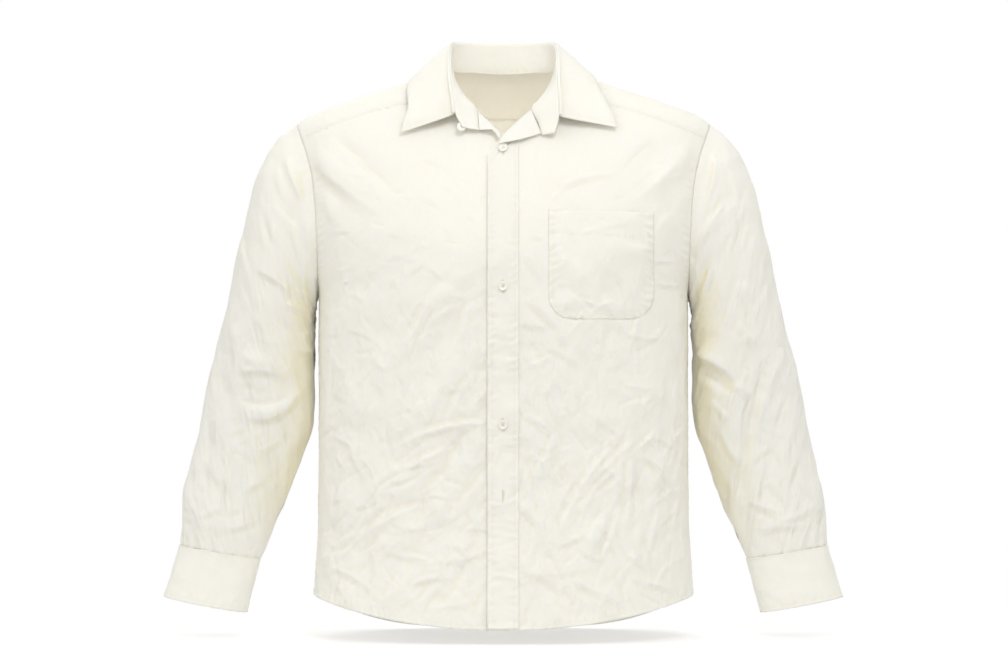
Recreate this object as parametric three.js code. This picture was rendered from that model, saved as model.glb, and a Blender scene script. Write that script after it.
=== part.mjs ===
// A long-sleeved button-up shirt of crumpled cotton, filled out as if worn, with its collar open.
// Millimetres, +Z up. X runs across the shirt, to the wearer's left. The front faces -Y.
// The origin lies between the shoulders at the base of the neck, where the wearer holds the shirt.

import * as THREE from 'three';

// ---- driving sizes ------------------------------------------------------------------------------

const CLOTH = 1.2; // one wall of shirting
const DOUBLE_CLOTH = 1.6; // collar, cuffs and placket, which are two layers with a stiffener
const SEAM_GAP = 0.4; // between two pieces that are sewn edge to edge
const LAY_GAP = 1.1; // between a panel and a piece that lies on it
const CORNER_GAP = 1; // between the collar's button and the curved corner in front of it
const RING_POWER = 2.4; // how square the body is in plan: 2 is an ellipse
const SLEEVE_POWER = 2.15;

const SIDE_SEAM_FOOT = -597;
const ARMPIT = -240;
const HEM = { frontDrop: 34, frontFoot: -631, frontPower: 2, backDrop: 50, backFoot: -647, backPower: 3.6 };
const LAP = { left: 19.4, right: 17, sink: 2.2, rampStart: 22, rampEnd: 66 };
const PLACKET = { left: -18.6, right: 18, top: -69, topSlope: 1, bottom: -629 };
const POCKET = { left: 52, right: 176, top: -140, topTilt: -4, bottom: -268, corner: 28 };
const BACK_YOKE = { centre: -22, drop: 48, reach: 240 };
const PLEAT = { half: 18, side: 3, height: 1.7, foot: -330, fade: 150 };
const TURN_SIZE = { clear: 0.06, liftLeft: 1.9, liftRight: 1, belly: 1.5 };
const BUTTON = { x: -0.6, radius: 5.7, thick: 2.4, rim: 1.1, dish: 0.7, sides: 14 };
const BUTTON_HEIGHTS = [-68, -229.5, -391];
const CUFF = { lap: 24, lapRise: 2.6, slitAngle: -1.05, columns: 30, rows: 3 };
const SLEEVE_PLACKET = { half: 12, turnRadius: 46 };
const COLLAR_SIZE = {
  columns: 14,
  standRows: 3,
  seamLift: 1.4,
  rollGap: 0.9,
  rollRise: 2.2,
  rollOut: 2.4,
  belly: 3,
  leafSteps: [0, 0.12, 0.25, 0.4, 0.6, 0.8, 1],
};
const COLUMNS = { neck: 7, shoulder: 9, yokeNeck: 10, yokeRows: 6, sleeveRows: 22 };
const ROWS = { side: 16, armhole: 10 };

const IVORY = { body: 0xf7f5ec, turned: 0xfbf9f1, button: 0xf4f1e4 };

// Body sections by height: half width, and how far the front and back stand from the side seams.
const BODY = rows('z half front back', [
  [-660, 229, 121, 112],
  [-595, 227, 122, 111],
  [-500, 221.5, 120, 106],
  [-400, 221, 118, 102],
  [-300, 221, 119, 104],
  [-240, 221, 121, 108],
  [-200, 230, 122, 111],
  [-158, 242, 121, 112],
  [-113, 247, 120, 112],
  [-75, 253, 119, 111],
  [-50, 258, 118, 110],
  [-20, 262, 118, 110],
  [60, 262, 118, 110],
]);

// The shoulder ridge: its height at each distance from the middle.
const RIDGE = rows('x z', [
  [0, 50],
  [30, 48],
  [60, 36],
  [72, 29.5],
  [90, 24],
  [114, 17.5],
  [143, 7.5],
  [182, -5],
  [215, -17],
  [238, -27.5],
  [248, -35],
  [262, -52],
]);

// How the chest and back round over into the ridge, near the neck and out at the shoulder.
const ARCH = {
  front: { neck: { height: 250, power: 1.5 }, shoulder: { height: 160, power: 2.2 } },
  back: { neck: { height: 140, power: 2 }, shoulder: { height: 160, power: 2.2 } },
  neckEnd: 60,
  shoulderStart: 220,
};

// The armhole seam: how far it lies from the middle at each height.
const ARMHOLE = rows('z x', [
  [-240, 221],
  [-200, 220.5],
  [-158, 221.5],
  [-113, 225],
  [-75, 233],
  [-53, 241],
  [-35, 248],
]);

// The front seam of the yoke: its height at each distance from the middle.
const FRONT_YOKE = rows('x z', [
  [56, 8],
  [114, -11],
  [140, -17],
  [183, -31],
  [241, -53],
]);

// The neck seam in plan, from the middle of the front to the middle of the back.
const NECK = rows('x y', [
  [0, -78],
  [17, -70],
  [34, -61],
  [43, -52],
  [51, -43],
  [56, -36],
  [64, -16],
  [65, 8],
  [58, 30],
  [44, 45],
  [24, 54],
  [0, 57],
]);
const NECK_CORNER = 5; // the row above where the front ends and the yoke begins
const YOKE_CORNER_REACH = 20; // over which the yoke's seam bends to meet the neck seam

// Sleeve sections, from the armhole to the cuff: the outer and inner end of each, half its depth
// from front to back, and where its middle lies.
const SLEEVE = rows('outerX outerZ innerX innerZ depth y', [
  [248, -38, 221, -240, 60, 2],
  [270, -55, 223, -248, 61, 4],
  [289, -82, 225, -256, 61, 6],
  [304, -122, 226.5, -264, 61, 8],
  [315, -168, 227, -273, 61, 9],
  [325, -215, 227, -287, 60, 10],
  [335, -262, 227, -310, 57, 11],
  [347, -312, 227, -345, 52, 12],
  [358, -357, 229, -392, 46, 11],
  [367, -402, 243, -432, 40, 9],
  [377, -447, 260, -480, 36, 6],
  [386, -492, 276, -518, 33, 3],
  [387, -538, 292, -554, 29, 0],
]);
const SLEEVE_HEAD_BLEND = 4; // sections over which the armhole's own shape fades out

// The cuff, from its seam to its edge.
const CUFF_SECTIONS = rows('outerX outerZ innerX innerZ depth y', [
  [388.5, -538.3, 291.5, -554.3, 30, 0],
  [398, -570, 299.5, -588, 30.5, -1],
  [407, -600, 308, -619, 31, -2],
]);

// The collar from the middle of the back to its end: the fold at the top of the stand, and the
// leaf's outer edge. The stand's lower edge follows the neck seam.
const COLLAR = rows('seamX seamY foldX foldY foldZ edgeX edgeY edgeZ', [
  [0, 57, 0, 60, 66, 0, 74, 22],
  [24, 54, 24, 57, 66, 28, 71, 22],
  [44, 45, 44, 49, 66, 55, 60, 23.5],
  [58, 30, 57, 33, 65, 78, 40, 27],
  [65, 8, 61.5, 12, 62, 96, 13, 28.5],
  [64, -16, 63.5, -15, 53, 107, -14, 23],
  [56, -36, 64, -37, 36, 115, -36, 6],
]);
// The open front ends of the collar, which differ, since each lies as it fell.
const COLLAR_FRONT = {
  left: rows('seamX seamY foldX foldY foldZ edgeX edgeY edgeZ', [
    [43, -52, 64, -58, 12, 125, -58, -16],
    [34, -61, 65.5, -71, -10, 131, -69, -32],
  ]),
  right: rows('seamX seamY foldX foldY foldZ edgeX edgeY edgeZ', [
    [43, -52, 62, -58, 12, 113, -59, -16],
    [32, -62, 59, -71, -8, 118, -71, -34],
  ]),
};
// Past the neck seam's end the stand and the leaf hang free.
const COLLAR_FREE = {
  left: rows('seamX seamY seamZ foldX foldY foldZ edgeX edgeY edgeZ', [
    [41, -70, -36, 65.5, -77, -28, 134, -74, -42],
    [46, -78, -50, 61, -80, -48, 134, -74, -42],
  ]),
  right: rows('seamX seamY seamZ foldX foldY foldZ edgeX edgeY edgeZ', [
    [30.5, -70, -34, 57, -77, -25, 121, -76, -48.5],
    [30, -78, -45, 49, -80, -41, 121, -76, -48.5],
  ]),
};
// The top corner of each front, turned out like a small lapel: roll line and free edge.
const TURN = {
  left: rows('rollX rollY freeX freeY freeZ', [
    [33, -62, 44.5, -78, -49.5],
    [17, -70, 20, -87, -57],
    [2, -77, -6, -92, -62],
  ]),
  right: rows('rollX rollY freeX freeY freeZ', [
    [30, -63, 28.5, -78, -45.5],
    [17, -70, 15, -83, -45],
    [3, -76.5, 4.5, -87, -56],
  ]),
};

// The largest folds, seen from the front (side -1) or from the back (side 1): a soft ridge, or a
// trough where the height is negative, from one point to the other.
const FOLDS = rows('side x0 z0 x1 z1 half height', [
  [-1, -232, -62, -140, -150, 13, 4.5],
  [-1, -200, -48, -112, -140, 12, -3.5],
  [-1, -225, -105, -170, -190, 12, 3],
  [-1, 226, -62, 158, -134, 13, 4.5],
  [-1, 196, -48, 130, -128, 12, -3.5],
  [-1, 222, -110, 190, -180, 10, 3],
  [-1, -60, -230, -112, -330, 12, 2.5],
  [-1, -50, -310, -150, -480, 12, 3],
  [-1, -40, -400, -130, -520, 10, -3],
  [-1, -70, -480, -190, -580, 12, 3.5],
  [-1, -120, -440, -205, -520, 11, 2.5],
  [-1, -185, -330, -165, -430, 14, 2],
  [-1, 70, -300, 140, -440, 12, 3],
  [-1, 60, -420, 110, -560, 12, -3],
  [-1, 150, -400, 120, -540, 11, 3.5],
  [-1, 190, -420, 160, -560, 13, 3],
  [-1, 120, -500, 60, -590, 10, 3],
  [-1, -310, -310, -235, -335, 12, 6],
  [-1, -318, -345, -245, -368, 12, -5],
  [-1, -300, -380, -236, -372, 12, 5],
  [-1, -270, -150, -300, -330, 14, 3.5],
  [-1, 232, -300, 282, -338, 10, 6],
  [-1, 262, -352, 300, -372, 10, 4],
  [-1, 268, -120, 262, -290, 13, 3.5],
  [-1, 330, -300, 352, -470, 14, 3],
  [-1, -330, -380, -340, -500, 13, 3],
  [-1, 300, -505, 380, -520, 9, 3],
  [-1, -380, -505, -300, -525, 9, 3],
  [1, -225, -90, -120, -220, 14, 4],
  [1, 225, -95, 125, -235, 14, 4],
  [1, -60, -260, -150, -420, 13, 3],
  [1, 40, -330, 150, -470, 13, 3],
  [1, -30, -420, -120, -600, 12, 3.5],
  [1, 60, -430, 20, -600, 12, -3],
  [1, 185, -380, 130, -590, 13, 3.5],
  [1, -200, -430, -170, -590, 13, 3],
  [1, -330, -320, -245, -350, 13, 5],
  [1, 330, -330, 245, -352, 13, 5],
  [1, -345, -400, -262, -418, 12, 4],
  [1, 345, -395, 262, -420, 12, 4],
  [1, 285, -110, 275, -280, 13, 3],
  [1, -285, -110, -275, -290, 13, 3],
]);

// ---- small helpers ------------------------------------------------------------------------------

/** Turns a short table into rows with named columns. */
function rows(names, table) {
  const keys = names.split(' ');
  return table.map((row) => Object.fromEntries(keys.map((key, i) => [key, row[i]])));
}

const lerp = (a, b, t) => a + (b - a) * t;
const clamp = (value, low = 0, high = 1) => Math.min(high, Math.max(low, value));
const ease = (low, high, value) => THREE.MathUtils.smoothstep(value, low, high);
const vec = (x, y, z) => new THREE.Vector3(x, y, z);

/** A smooth curve through one column of a table, which never swings past its rows. */
function through(table, from, to, at) {
  const last = table.length - 1;
  const x = clamp(at, table[0][from], table[last][from]);
  let i = 0;
  while (i < last - 1 && x > table[i + 1][from]) i += 1;
  const slope = (k) => (table[k + 1][to] - table[k][to]) / (table[k + 1][from] - table[k][from]);
  const tangent = (k) => {
    if (k === 0) return slope(0);
    if (k === last) return slope(last - 1);
    const before = slope(k - 1);
    const after = slope(k);
    return before * after <= 0 ? 0 : (2 * before * after) / (before + after);
  };
  const span = table[i + 1][from] - table[i][from];
  const t = (x - table[i][from]) / span;
  const t2 = t * t;
  const t3 = t2 * t;
  return (2 * t3 - 3 * t2 + 1) * table[i][to] + (t3 - 2 * t2 + t) * span * tangent(i)
    + (3 * t2 - 2 * t3) * table[i + 1][to] + (t3 - t2) * span * tangent(i + 1);
}

/** A table with its row numbers as a column, so that it can be read at any place between rows. */
const numbered = (table) => table.map((row, i) => ({ ...row, at: i }));
const along = (table, column, at) => through(table, 'at', column, at);

// ---- the body's surface -------------------------------------------------------------------------

const ridgeAt = (x) => through(RIDGE, 'x', 'z', Math.abs(x));
const halfAt = (z) => through(BODY, 'z', 'half', z);
const armholeX = (z) => through(ARMHOLE, 'z', 'x', z);

function archAt(x, side) {
  const { neck, shoulder } = side < 0 ? ARCH.front : ARCH.back;
  const t = ease(ARCH.neckEnd, ARCH.shoulderStart, Math.abs(x));
  return { height: lerp(neck.height, shoulder.height, t), power: lerp(neck.power, shoulder.power, t) };
}

/** How far the front (side -1) or the back (side 1) stands out at one place. */
function depthAt(x, z, side) {
  const reach = clamp(Math.abs(x) / halfAt(z));
  const ring = Math.pow(1 - Math.pow(reach, RING_POWER), 1 / RING_POWER);
  const { height, power } = archAt(x, side);
  const rest = 1 - clamp((ridgeAt(x) - z) / height);
  const arch = Math.pow(1 - Math.pow(rest, power), 1 / power);
  return side * through(BODY, 'z', side < 0 ? 'front' : 'back', z) * ring * arch;
}

/** The height on the upper body at one place in plan. */
function heightAt(x, y) {
  const side = y < 0 ? -1 : 1;
  let low = ridgeAt(x) - archAt(x, side).height;
  let high = ridgeAt(x);
  for (let step = 0; step < 40; step += 1) {
    const middle = (low + high) / 2;
    if (Math.abs(depthAt(x, middle, side)) > Math.abs(y)) low = middle;
    else high = middle;
  }
  return (low + high) / 2;
}

/** The height of the folds at one place, seen from one side. */
function foldAt(x, z, side) {
  let height = 0;
  for (const fold of FOLDS) {
    if (fold.side !== side) continue;
    const alongX = fold.x1 - fold.x0;
    const alongZ = fold.z1 - fold.z0;
    const length = Math.hypot(alongX, alongZ);
    const t = ((x - fold.x0) * alongX + (z - fold.z0) * alongZ) / (length * length);
    const off = ((x - fold.x0) * alongZ - (z - fold.z0) * alongX) / length;
    if (t <= 0 || t >= 1 || Math.abs(off) > 3 * fold.half) continue;
    const fade = Math.sin(Math.PI * Math.sqrt(t));
    height += fold.height * fade * fade * Math.exp(-((off / fold.half) ** 2));
  }
  return height;
}

/** The share of a fold that is left near a seam on the body, where the layers hold the cloth flat. */
function foldShare(x, z) {
  const fromSide = 1 - Math.abs(x) / halfAt(z);
  const fromArmhole = z > ARMPIT ? armholeX(z) - Math.abs(x) : 40;
  const fromHem = z - HEM.frontFoot;
  return ease(0, 0.06, fromSide) * ease(2, 24, fromArmhole) * ease(0, 40, fromHem) * (1 - ease(-90, -30, z));
}

/** A point by its turn round the body: 0 in the middle of the front or back, 1 at the side seam. */
function atTurn(turn, z, side) {
  const swing = Math.pow(Math.abs(Math.sin((turn * Math.PI) / 2)), 2 / RING_POWER);
  const x = Math.sign(turn) * halfAt(z) * swing;
  return vec(x, depthAt(x, z, side), z);
}

/** The turn that lies that far from the middle. */
function turnOf(x, z) {
  const reach = clamp(Math.abs(x) / halfAt(z));
  return (Math.sign(x) * 2 * Math.asin(Math.pow(reach, RING_POWER / 2))) / Math.PI;
}

// ---- grids and walls ----------------------------------------------------------------------------

/** Fills a four-sided patch from its edges: low and high run along i, near and far along j. */
function patch(low, high, near, far) {
  const rowCount = near.length - 1;
  const columnCount = low.length - 1;
  const grid = [];
  for (let i = 0; i <= rowCount; i += 1) {
    const v = i / rowCount;
    grid.push([]);
    for (let j = 0; j <= columnCount; j += 1) {
      const u = j / columnCount;
      const mix = (k) => (1 - v) * low[j][k] + v * high[j][k] + (1 - u) * near[i][k] + u * far[i][k]
        - (1 - u) * (1 - v) * low[0][k] - u * (1 - v) * low[columnCount][k]
        - (1 - u) * v * high[0][k] - u * v * high[columnCount][k];
      grid[i].push([mix(0), mix(1)]);
    }
  }
  return grid;
}

/** The normals of a grid of points, from its neighbours. */
function normalsOf(grid, closed) {
  const rowCount = grid.length;
  const columnCount = grid[0].length;
  return grid.map((row, i) => row.map((point, j) => {
    const up = grid[Math.min(i + 1, rowCount - 1)][j];
    const down = grid[Math.max(i - 1, 0)][j];
    const right = closed ? row[(j + 1) % columnCount] : row[Math.min(j + 1, columnCount - 1)];
    const left = closed ? row[(j + columnCount - 1) % columnCount] : row[Math.max(j - 1, 0)];
    return right.clone().sub(left).cross(up.clone().sub(down)).normalize();
  }));
}

/** Draws the edge of a grid in by half a seam gap. */
function insetEdges(grid, closed, amount = SEAM_GAP / 2) {
  const rowCount = grid.length - 1;
  const columnCount = grid[0].length - 1;
  const moved = grid.map((row) => row.map((point) => point.clone()));
  const draw = (i, j, toI, toJ) => {
    const step = grid[toI][toJ].clone().sub(grid[i][j]).normalize();
    moved[i][j].addScaledVector(step, amount);
  };
  for (let j = 0; j <= columnCount; j += 1) {
    draw(0, j, 1, j);
    draw(rowCount, j, rowCount - 1, j);
  }
  if (closed) return moved;
  for (let i = 0; i <= rowCount; i += 1) {
    draw(i, 0, i, 1);
    draw(i, columnCount, i, columnCount - 1);
  }
  return moved;
}

/** A closed wall between an outer and an inner grid. Columns join up where the grid is closed. */
function wallBetween(outer, inner, closed) {
  const rowCount = outer.length;
  const columnCount = outer[0].length;
  const points = [...outer.flat(), ...inner.flat()];
  const innerStart = rowCount * columnCount;
  const faces = [];
  const quad = (a, b, c, d) => faces.push(a, b, c, a, c, d);
  const id = (i, j) => i * columnCount + (j % columnCount);
  const spans = closed ? columnCount : columnCount - 1;
  for (let i = 0; i < rowCount - 1; i += 1) {
    for (let j = 0; j < spans; j += 1) {
      const [a, b, c, d] = [id(i, j), id(i, j + 1), id(i + 1, j + 1), id(i + 1, j)];
      quad(a, b, c, d);
      quad(innerStart + d, innerStart + c, innerStart + b, innerStart + a);
    }
  }
  const rim = (a, b) => quad(b, a, innerStart + a, innerStart + b);
  for (let j = 0; j < spans; j += 1) {
    rim(id(0, j), id(0, j + 1));
    rim(id(rowCount - 1, j + 1), id(rowCount - 1, j));
  }
  if (!closed) {
    for (let i = 0; i < rowCount - 1; i += 1) {
      rim(id(i + 1, 0), id(i, 0));
      rim(id(i, columnCount - 1), id(i + 1, columnCount - 1));
    }
  }
  const geometry = new THREE.BufferGeometry();
  geometry.setAttribute('position', new THREE.Float32BufferAttribute(points.flatMap((p) => p.toArray()), 3));
  geometry.setIndex(faces);
  geometry.computeVertexNormals();
  return geometry;
}

/** A wall whose outer face is the grid and which reaches that far in. */
function wall(grid, thick, closed = false, normals = normalsOf(grid, closed)) {
  const inner = grid.map((row, i) => row.map((p, j) => p.clone().addScaledVector(normals[i][j], -thick)));
  return wallBetween(grid, inner, closed);
}

// ---- the named meshes ---------------------------------------------------------------------------

const shirt = new THREE.Group();

function add(name, geometry, color = IVORY.body, roughness = 0.9) {
  const material = new THREE.MeshStandardMaterial({ color, roughness, metalness: 0 });
  const mesh = new THREE.Mesh(geometry, material);
  mesh.name = name;
  shirt.add(mesh);
}

// ---- seams that two pieces share ----------------------------------------------------------------

const neckRows = numbered(NECK);

/** A point of the neck seam: 0 is the middle of the front, and the last row the middle of the back. */
function neckPoint(at) {
  const x = along(neckRows, 'x', at);
  const y = along(neckRows, 'y', at);
  return vec(x, y, heightAt(x, y));
}

/** Heights of the side seam and then of the armhole, from the hem up. */
function seamHeights(top) {
  const side = Array.from({ length: ROWS.side }, (_, i) => lerp(SIDE_SEAM_FOOT, ARMPIT, i / ROWS.side));
  const armhole = Array.from({ length: ROWS.armhole + 1 }, (_, i) => {
    const t = i / ROWS.armhole;
    return lerp(ARMPIT, top, t * lerp(0.35, 1, t) + t * (1 - t) * 0.35);
  });
  return [...side, ...armhole];
}

const frontYokeZ = (x) => through(FRONT_YOKE, 'x', 'z', Math.abs(x));
const backYokeZ = (x) => BACK_YOKE.centre - BACK_YOKE.drop * (x / BACK_YOKE.reach) ** 2;

/** Where a yoke seam meets the armhole. */
function yokeEnd(seamZ) {
  let z = -60;
  for (let step = 0; step < 30; step += 1) z = lerp(z, seamZ(armholeX(z)), 0.6);
  return z;
}

/** The yoke's front seam, drawn in to the neck seam at its inner end. */
function frontSeamZ(x) {
  const corner = neckPoint(NECK_CORNER);
  return lerp(corner.z, frontYokeZ(x), clamp((x - corner.x) / YOKE_CORNER_REACH));
}

const FRONT_ARMHOLE_TOP = yokeEnd(frontYokeZ);
const BACK_ARMHOLE_TOP = yokeEnd(backYokeZ);

/** The side seam and armhole of one panel, as turn and height. */
function sideEdge(top) {
  return seamHeights(top).map((z) => [z <= ARMPIT ? 1 : turnOf(armholeX(z), z), z]);
}

function hemZ(turn, side) {
  const swing = Math.pow(Math.abs(Math.sin((turn * Math.PI) / 2)), 2 / RING_POWER);
  return side < 0
    ? HEM.frontFoot + HEM.frontDrop * swing ** HEM.frontPower
    : HEM.backFoot + HEM.backDrop * swing ** HEM.backPower;
}

/** The box pleat in the middle of the back, below the yoke. */
function pleatAt(x, z) {
  const fade = ease(PLEAT.foot - PLEAT.fade, PLEAT.foot + PLEAT.fade, z);
  return PLEAT.height * fade * (1 - ease(PLEAT.half, PLEAT.half + PLEAT.side, Math.abs(x)));
}

/** Moves the points of a panel out by its folds. */
function folded(grid, side, extra = () => 0) {
  const normals = normalsOf(grid, false);
  return grid.map((row, i) => row.map((p, j) => {
    const height = foldAt(p.x, p.z, side) * foldShare(p.x, p.z) + extra(p.x, p.z);
    return p.clone().addScaledVector(normals[i][j], height);
  }));
}

// ---- fronts -------------------------------------------------------------------------------------

/** How far a front sinks behind the other where they lap, by its distance past the middle. */
const lapSink = (x) => LAP.sink * (1 - ease(LAP.rampStart, LAP.rampEnd, x));

/** One front as turn and height: x grows from its edge at the middle to the side seam. */
function frontPatch(lap) {
  const columnCount = COLUMNS.neck + COLUMNS.shoulder;
  const lapTop = [turnOf(-lap, -76), -76];
  const high = [lapTop];
  for (let j = 1; j <= COLUMNS.neck; j += 1) {
    const at = ((j - 1) / (COLUMNS.neck - 1)) * NECK_CORNER;
    const p = neckPoint(at);
    high.push([turnOf(p.x, p.z), p.z]);
  }
  const corner = neckPoint(NECK_CORNER);
  for (let j = 1; j <= COLUMNS.shoulder; j += 1) {
    const x = lerp(corner.x, armholeX(FRONT_ARMHOLE_TOP), j / COLUMNS.shoulder);
    const z = j === COLUMNS.shoulder ? FRONT_ARMHOLE_TOP : frontSeamZ(x);
    high.push([turnOf(x, z), z]);
  }
  const far = sideEdge(FRONT_ARMHOLE_TOP);
  const edgeTurn = turnOf(-lap, -400);
  const low = Array.from({ length: columnCount + 1 }, (_, j) => {
    const turn = lerp(edgeTurn, 1, j / columnCount);
    return [turn, j === columnCount ? SIDE_SEAM_FOOT : hemZ(turn, -1)];
  });
  const near = far.map((_, i) => {
    const z = lerp(low[0][1], lapTop[1], i / (far.length - 1));
    return [turnOf(-lap, z), z];
  });
  return patch(low, high, near, far);
}

function frontGrid(lap, sign, sunk) {
  const flat = frontPatch(lap).map((row) => row.map(([turn, z]) => {
    const p = atTurn(turn, z, -1);
    if (sunk) p.y += lapSink(p.x);
    return vec(p.x * sign, p.y, p.z);
  }));
  const ordered = sign > 0 ? flat : flat.map((row) => [...row].reverse());
  return folded(ordered, -1);
}

const leftFront = frontGrid(LAP.left, 1, false);
add('front_left', wall(insetEdges(leftFront, false), CLOTH));
add('front_right', wall(insetEdges(frontGrid(LAP.right, -1, true), false), CLOTH));

// ---- what lies on the left front ----------------------------------------------------------------

/** The shares of a triangle's corners at one place seen from the front, or null outside it. */
function sharesIn(a, b, c, x, z) {
  const area = (b.x - a.x) * (c.z - a.z) - (c.x - a.x) * (b.z - a.z);
  const atB = ((x - a.x) * (c.z - a.z) - (c.x - a.x) * (z - a.z)) / area;
  const atC = ((b.x - a.x) * (z - a.z) - (x - a.x) * (b.z - a.z)) / area;
  return Math.min(atB, atC, 1 - atB - atC) > -1e-6 ? [1 - atB - atC, atB, atC] : null;
}

/** The point and normal of a panel's own face at one place seen from the front. */
function onPanel(grid, normals, x, z) {
  for (let i = 0; i < grid.length - 1; i += 1) {
    for (let j = 0; j < grid[0].length - 1; j += 1) {
      for (const corners of [[[i, j], [i, j + 1], [i + 1, j + 1]], [[i, j], [i + 1, j + 1], [i + 1, j]]]) {
        const shares = sharesIn(...corners.map(([row, column]) => grid[row][column]), x, z);
        if (!shares) continue;
        const blend = (from) => corners.reduce(
          (sum, [row, column], k) => sum.addScaledVector(from[row][column], shares[k]),
          vec(0, 0, 0),
        );
        return { point: blend(grid), normal: blend(normals).normalize() };
      }
    }
  }
  throw new Error(`no face of the panel at ${x}, ${z}`);
}

/** A layer a gap away from the spots of a panel. The side is -1 where their normals point in. */
function layOn(spots, thick, side) {
  const moved = (by) => spots.map((row) => row.map(
    ({ point, normal }) => point.clone().addScaledVector(normal, by * side),
  ));
  return wallBetween(moved(LAY_GAP + thick), moved(LAY_GAP), false);
}

/** A layer on the left front at given places across and up. */
function layOnFront(across, up, thick, place = (x, z) => [x, z]) {
  const normals = normalsOf(leftFront, false);
  const spots = up.map((v) => across.map((u) => onPanel(leftFront, normals, ...place(u, v))));
  return layOn(spots, thick, 1);
}

const spread = (from, to, count) => Array.from({ length: count + 1 }, (_, i) => lerp(from, to, i / count));

/** The placket's top follows the neckline, which slants across it. */
const placketPlace = (x, v) => [x, lerp(PLACKET.bottom, PLACKET.top + PLACKET.topSlope * x, v)];

const placketX = spread(PLACKET.left, PLACKET.right, 3);
add('placket', layOnFront(placketX, spread(0, 1, 30), DOUBLE_CLOTH, placketPlace), IVORY.turned);

/** The pocket's outline: straight sides, a tilted top and rounded bottom corners. */
function pocketPlace(u, v) {
  const middle = (POCKET.left + POCKET.right) / 2;
  const half = (POCKET.right - POCKET.left) / 2;
  const rise = v * (POCKET.top - POCKET.bottom);
  const intoCorner = clamp(1 - rise / POCKET.corner);
  const narrow = POCKET.corner * (1 - Math.sqrt(1 - intoCorner ** 2));
  const x = middle + u * (half - narrow);
  return [x, POCKET.bottom + rise + POCKET.topTilt * v * (0.5 + u / 2)];
}

const POCKET_RISES = [0, 0.012, 0.04, 0.09, 0.15, 0.22, 0.35, 0.5, 0.65, 0.8, 1];
add('pocket', layOnFront(spread(-1, 1, 8), POCKET_RISES, CLOTH, pocketPlace));

// ---- back ---------------------------------------------------------------------------------------

const BACK_COLUMNS = 2 * COLUMNS.shoulder + COLUMNS.yokeNeck;

/** Places across the back's yoke seam, from armhole to armhole. */
const backSeamX = spread(-armholeX(BACK_ARMHOLE_TOP), armholeX(BACK_ARMHOLE_TOP), BACK_COLUMNS);

function backGrid() {
  const high = backSeamX.map((x, j) => {
    const z = j === 0 || j === BACK_COLUMNS ? BACK_ARMHOLE_TOP : backYokeZ(x);
    return [turnOf(x, z), z];
  });
  const far = sideEdge(BACK_ARMHOLE_TOP);
  const near = far.map(([turn, z]) => [-turn, z]);
  const low = Array.from({ length: BACK_COLUMNS + 1 }, (_, j) => {
    const turn = lerp(-1, 1, j / BACK_COLUMNS);
    return [turn, hemZ(turn, 1)];
  });
  const flat = patch(low, high, near, far).map((row) => row.map(([turn, z]) => atTurn(turn, z, 1)).reverse());
  return folded(flat, 1, pleatAt);
}

add('back', wall(insetEdges(backGrid(), false), CLOTH));

// ---- yoke ---------------------------------------------------------------------------------------

const YOKE_DROP = 120;
const YOKE_POWER = 1.8;

/** The yoke's own way over the shoulder: 0 on the ridge, negative in front, positive behind. */
const overRidge = (x, z, side) => side * Math.pow(Math.max(ridgeAt(x) - z, 0) / YOKE_DROP, 1 / YOKE_POWER);

function atRidge(x, over) {
  const side = over < 0 ? -1 : 1;
  const z = ridgeAt(x) - YOKE_DROP * Math.pow(Math.abs(over), YOKE_POWER);
  return vec(x, depthAt(x, z, side), z);
}

/** The armhole's stretch on the yoke, from the back seam over the ridge to the front seam. */
function yokeArmhole() {
  const back = overRidge(armholeX(BACK_ARMHOLE_TOP), BACK_ARMHOLE_TOP, 1);
  const front = overRidge(armholeX(FRONT_ARMHOLE_TOP), FRONT_ARMHOLE_TOP, -1);
  return spread(back, front, COLUMNS.yokeRows).map((over) => {
    let x = 240;
    for (let step = 0; step < 30; step += 1) {
      const z = ridgeAt(x) - YOKE_DROP * Math.pow(Math.abs(over), YOKE_POWER);
      x = lerp(x, armholeX(z), 0.5);
    }
    return [x, over];
  });
}

const yokeSide = yokeArmhole();

function yokeGrid() {
  const corner = neckPoint(NECK_CORNER);
  const frontSeam = Array.from({ length: COLUMNS.shoulder + 1 }, (_, j) => {
    const x = lerp(armholeX(FRONT_ARMHOLE_TOP), corner.x, j / COLUMNS.shoulder);
    return [x, overRidge(x, j === 0 ? FRONT_ARMHOLE_TOP : frontSeamZ(x), -1)];
  });
  const halfNeck = Array.from({ length: COLUMNS.yokeNeck / 2 }, (_, j) => {
    const at = lerp(NECK_CORNER, NECK.length - 1, (j + 1) / (COLUMNS.yokeNeck / 2));
    const p = neckPoint(at);
    return [p.x, overRidge(p.x, p.z, p.y < 0 ? -1 : 1)];
  });
  const right = [...frontSeam, ...halfNeck];
  const left = right.slice(0, -1).map(([x, over]) => [-x, over]);
  const high = [...left, ...right.slice().reverse()];
  const low = backSeamX.map((x, j) => {
    const z = j === 0 || j === BACK_COLUMNS ? BACK_ARMHOLE_TOP : backYokeZ(x);
    return [x, overRidge(x, z, 1)];
  });
  const near = yokeSide.map(([x, over]) => [-x, over]);
  return patch(low, high, near, yokeSide).map((row) => row.map(([x, over]) => atRidge(x, over)).reverse());
}

add('yoke', wall(insetEdges(yokeGrid(), false), CLOTH));

// ---- sleeves ------------------------------------------------------------------------------------

const sleeveRows = numbered(SLEEVE);
const cuffRows = numbered(CUFF_SECTIONS);

/** A point round one section. The angle is 0 at the outer end and a quarter turn at the front. */
function sectionPoint(table, at, angle) {
  const value = (column) => along(table, column, at);
  const round = (t) => Math.sign(t) * Math.pow(Math.abs(t), 2 / SLEEVE_POWER);
  const out = round(Math.cos(angle));
  return vec(
    lerp(value('innerX'), value('outerX'), (1 + out) / 2),
    value('y') - value('depth') * round(Math.sin(angle)),
    lerp(value('innerZ'), value('outerZ'), (1 + out) / 2),
  );
}

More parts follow.
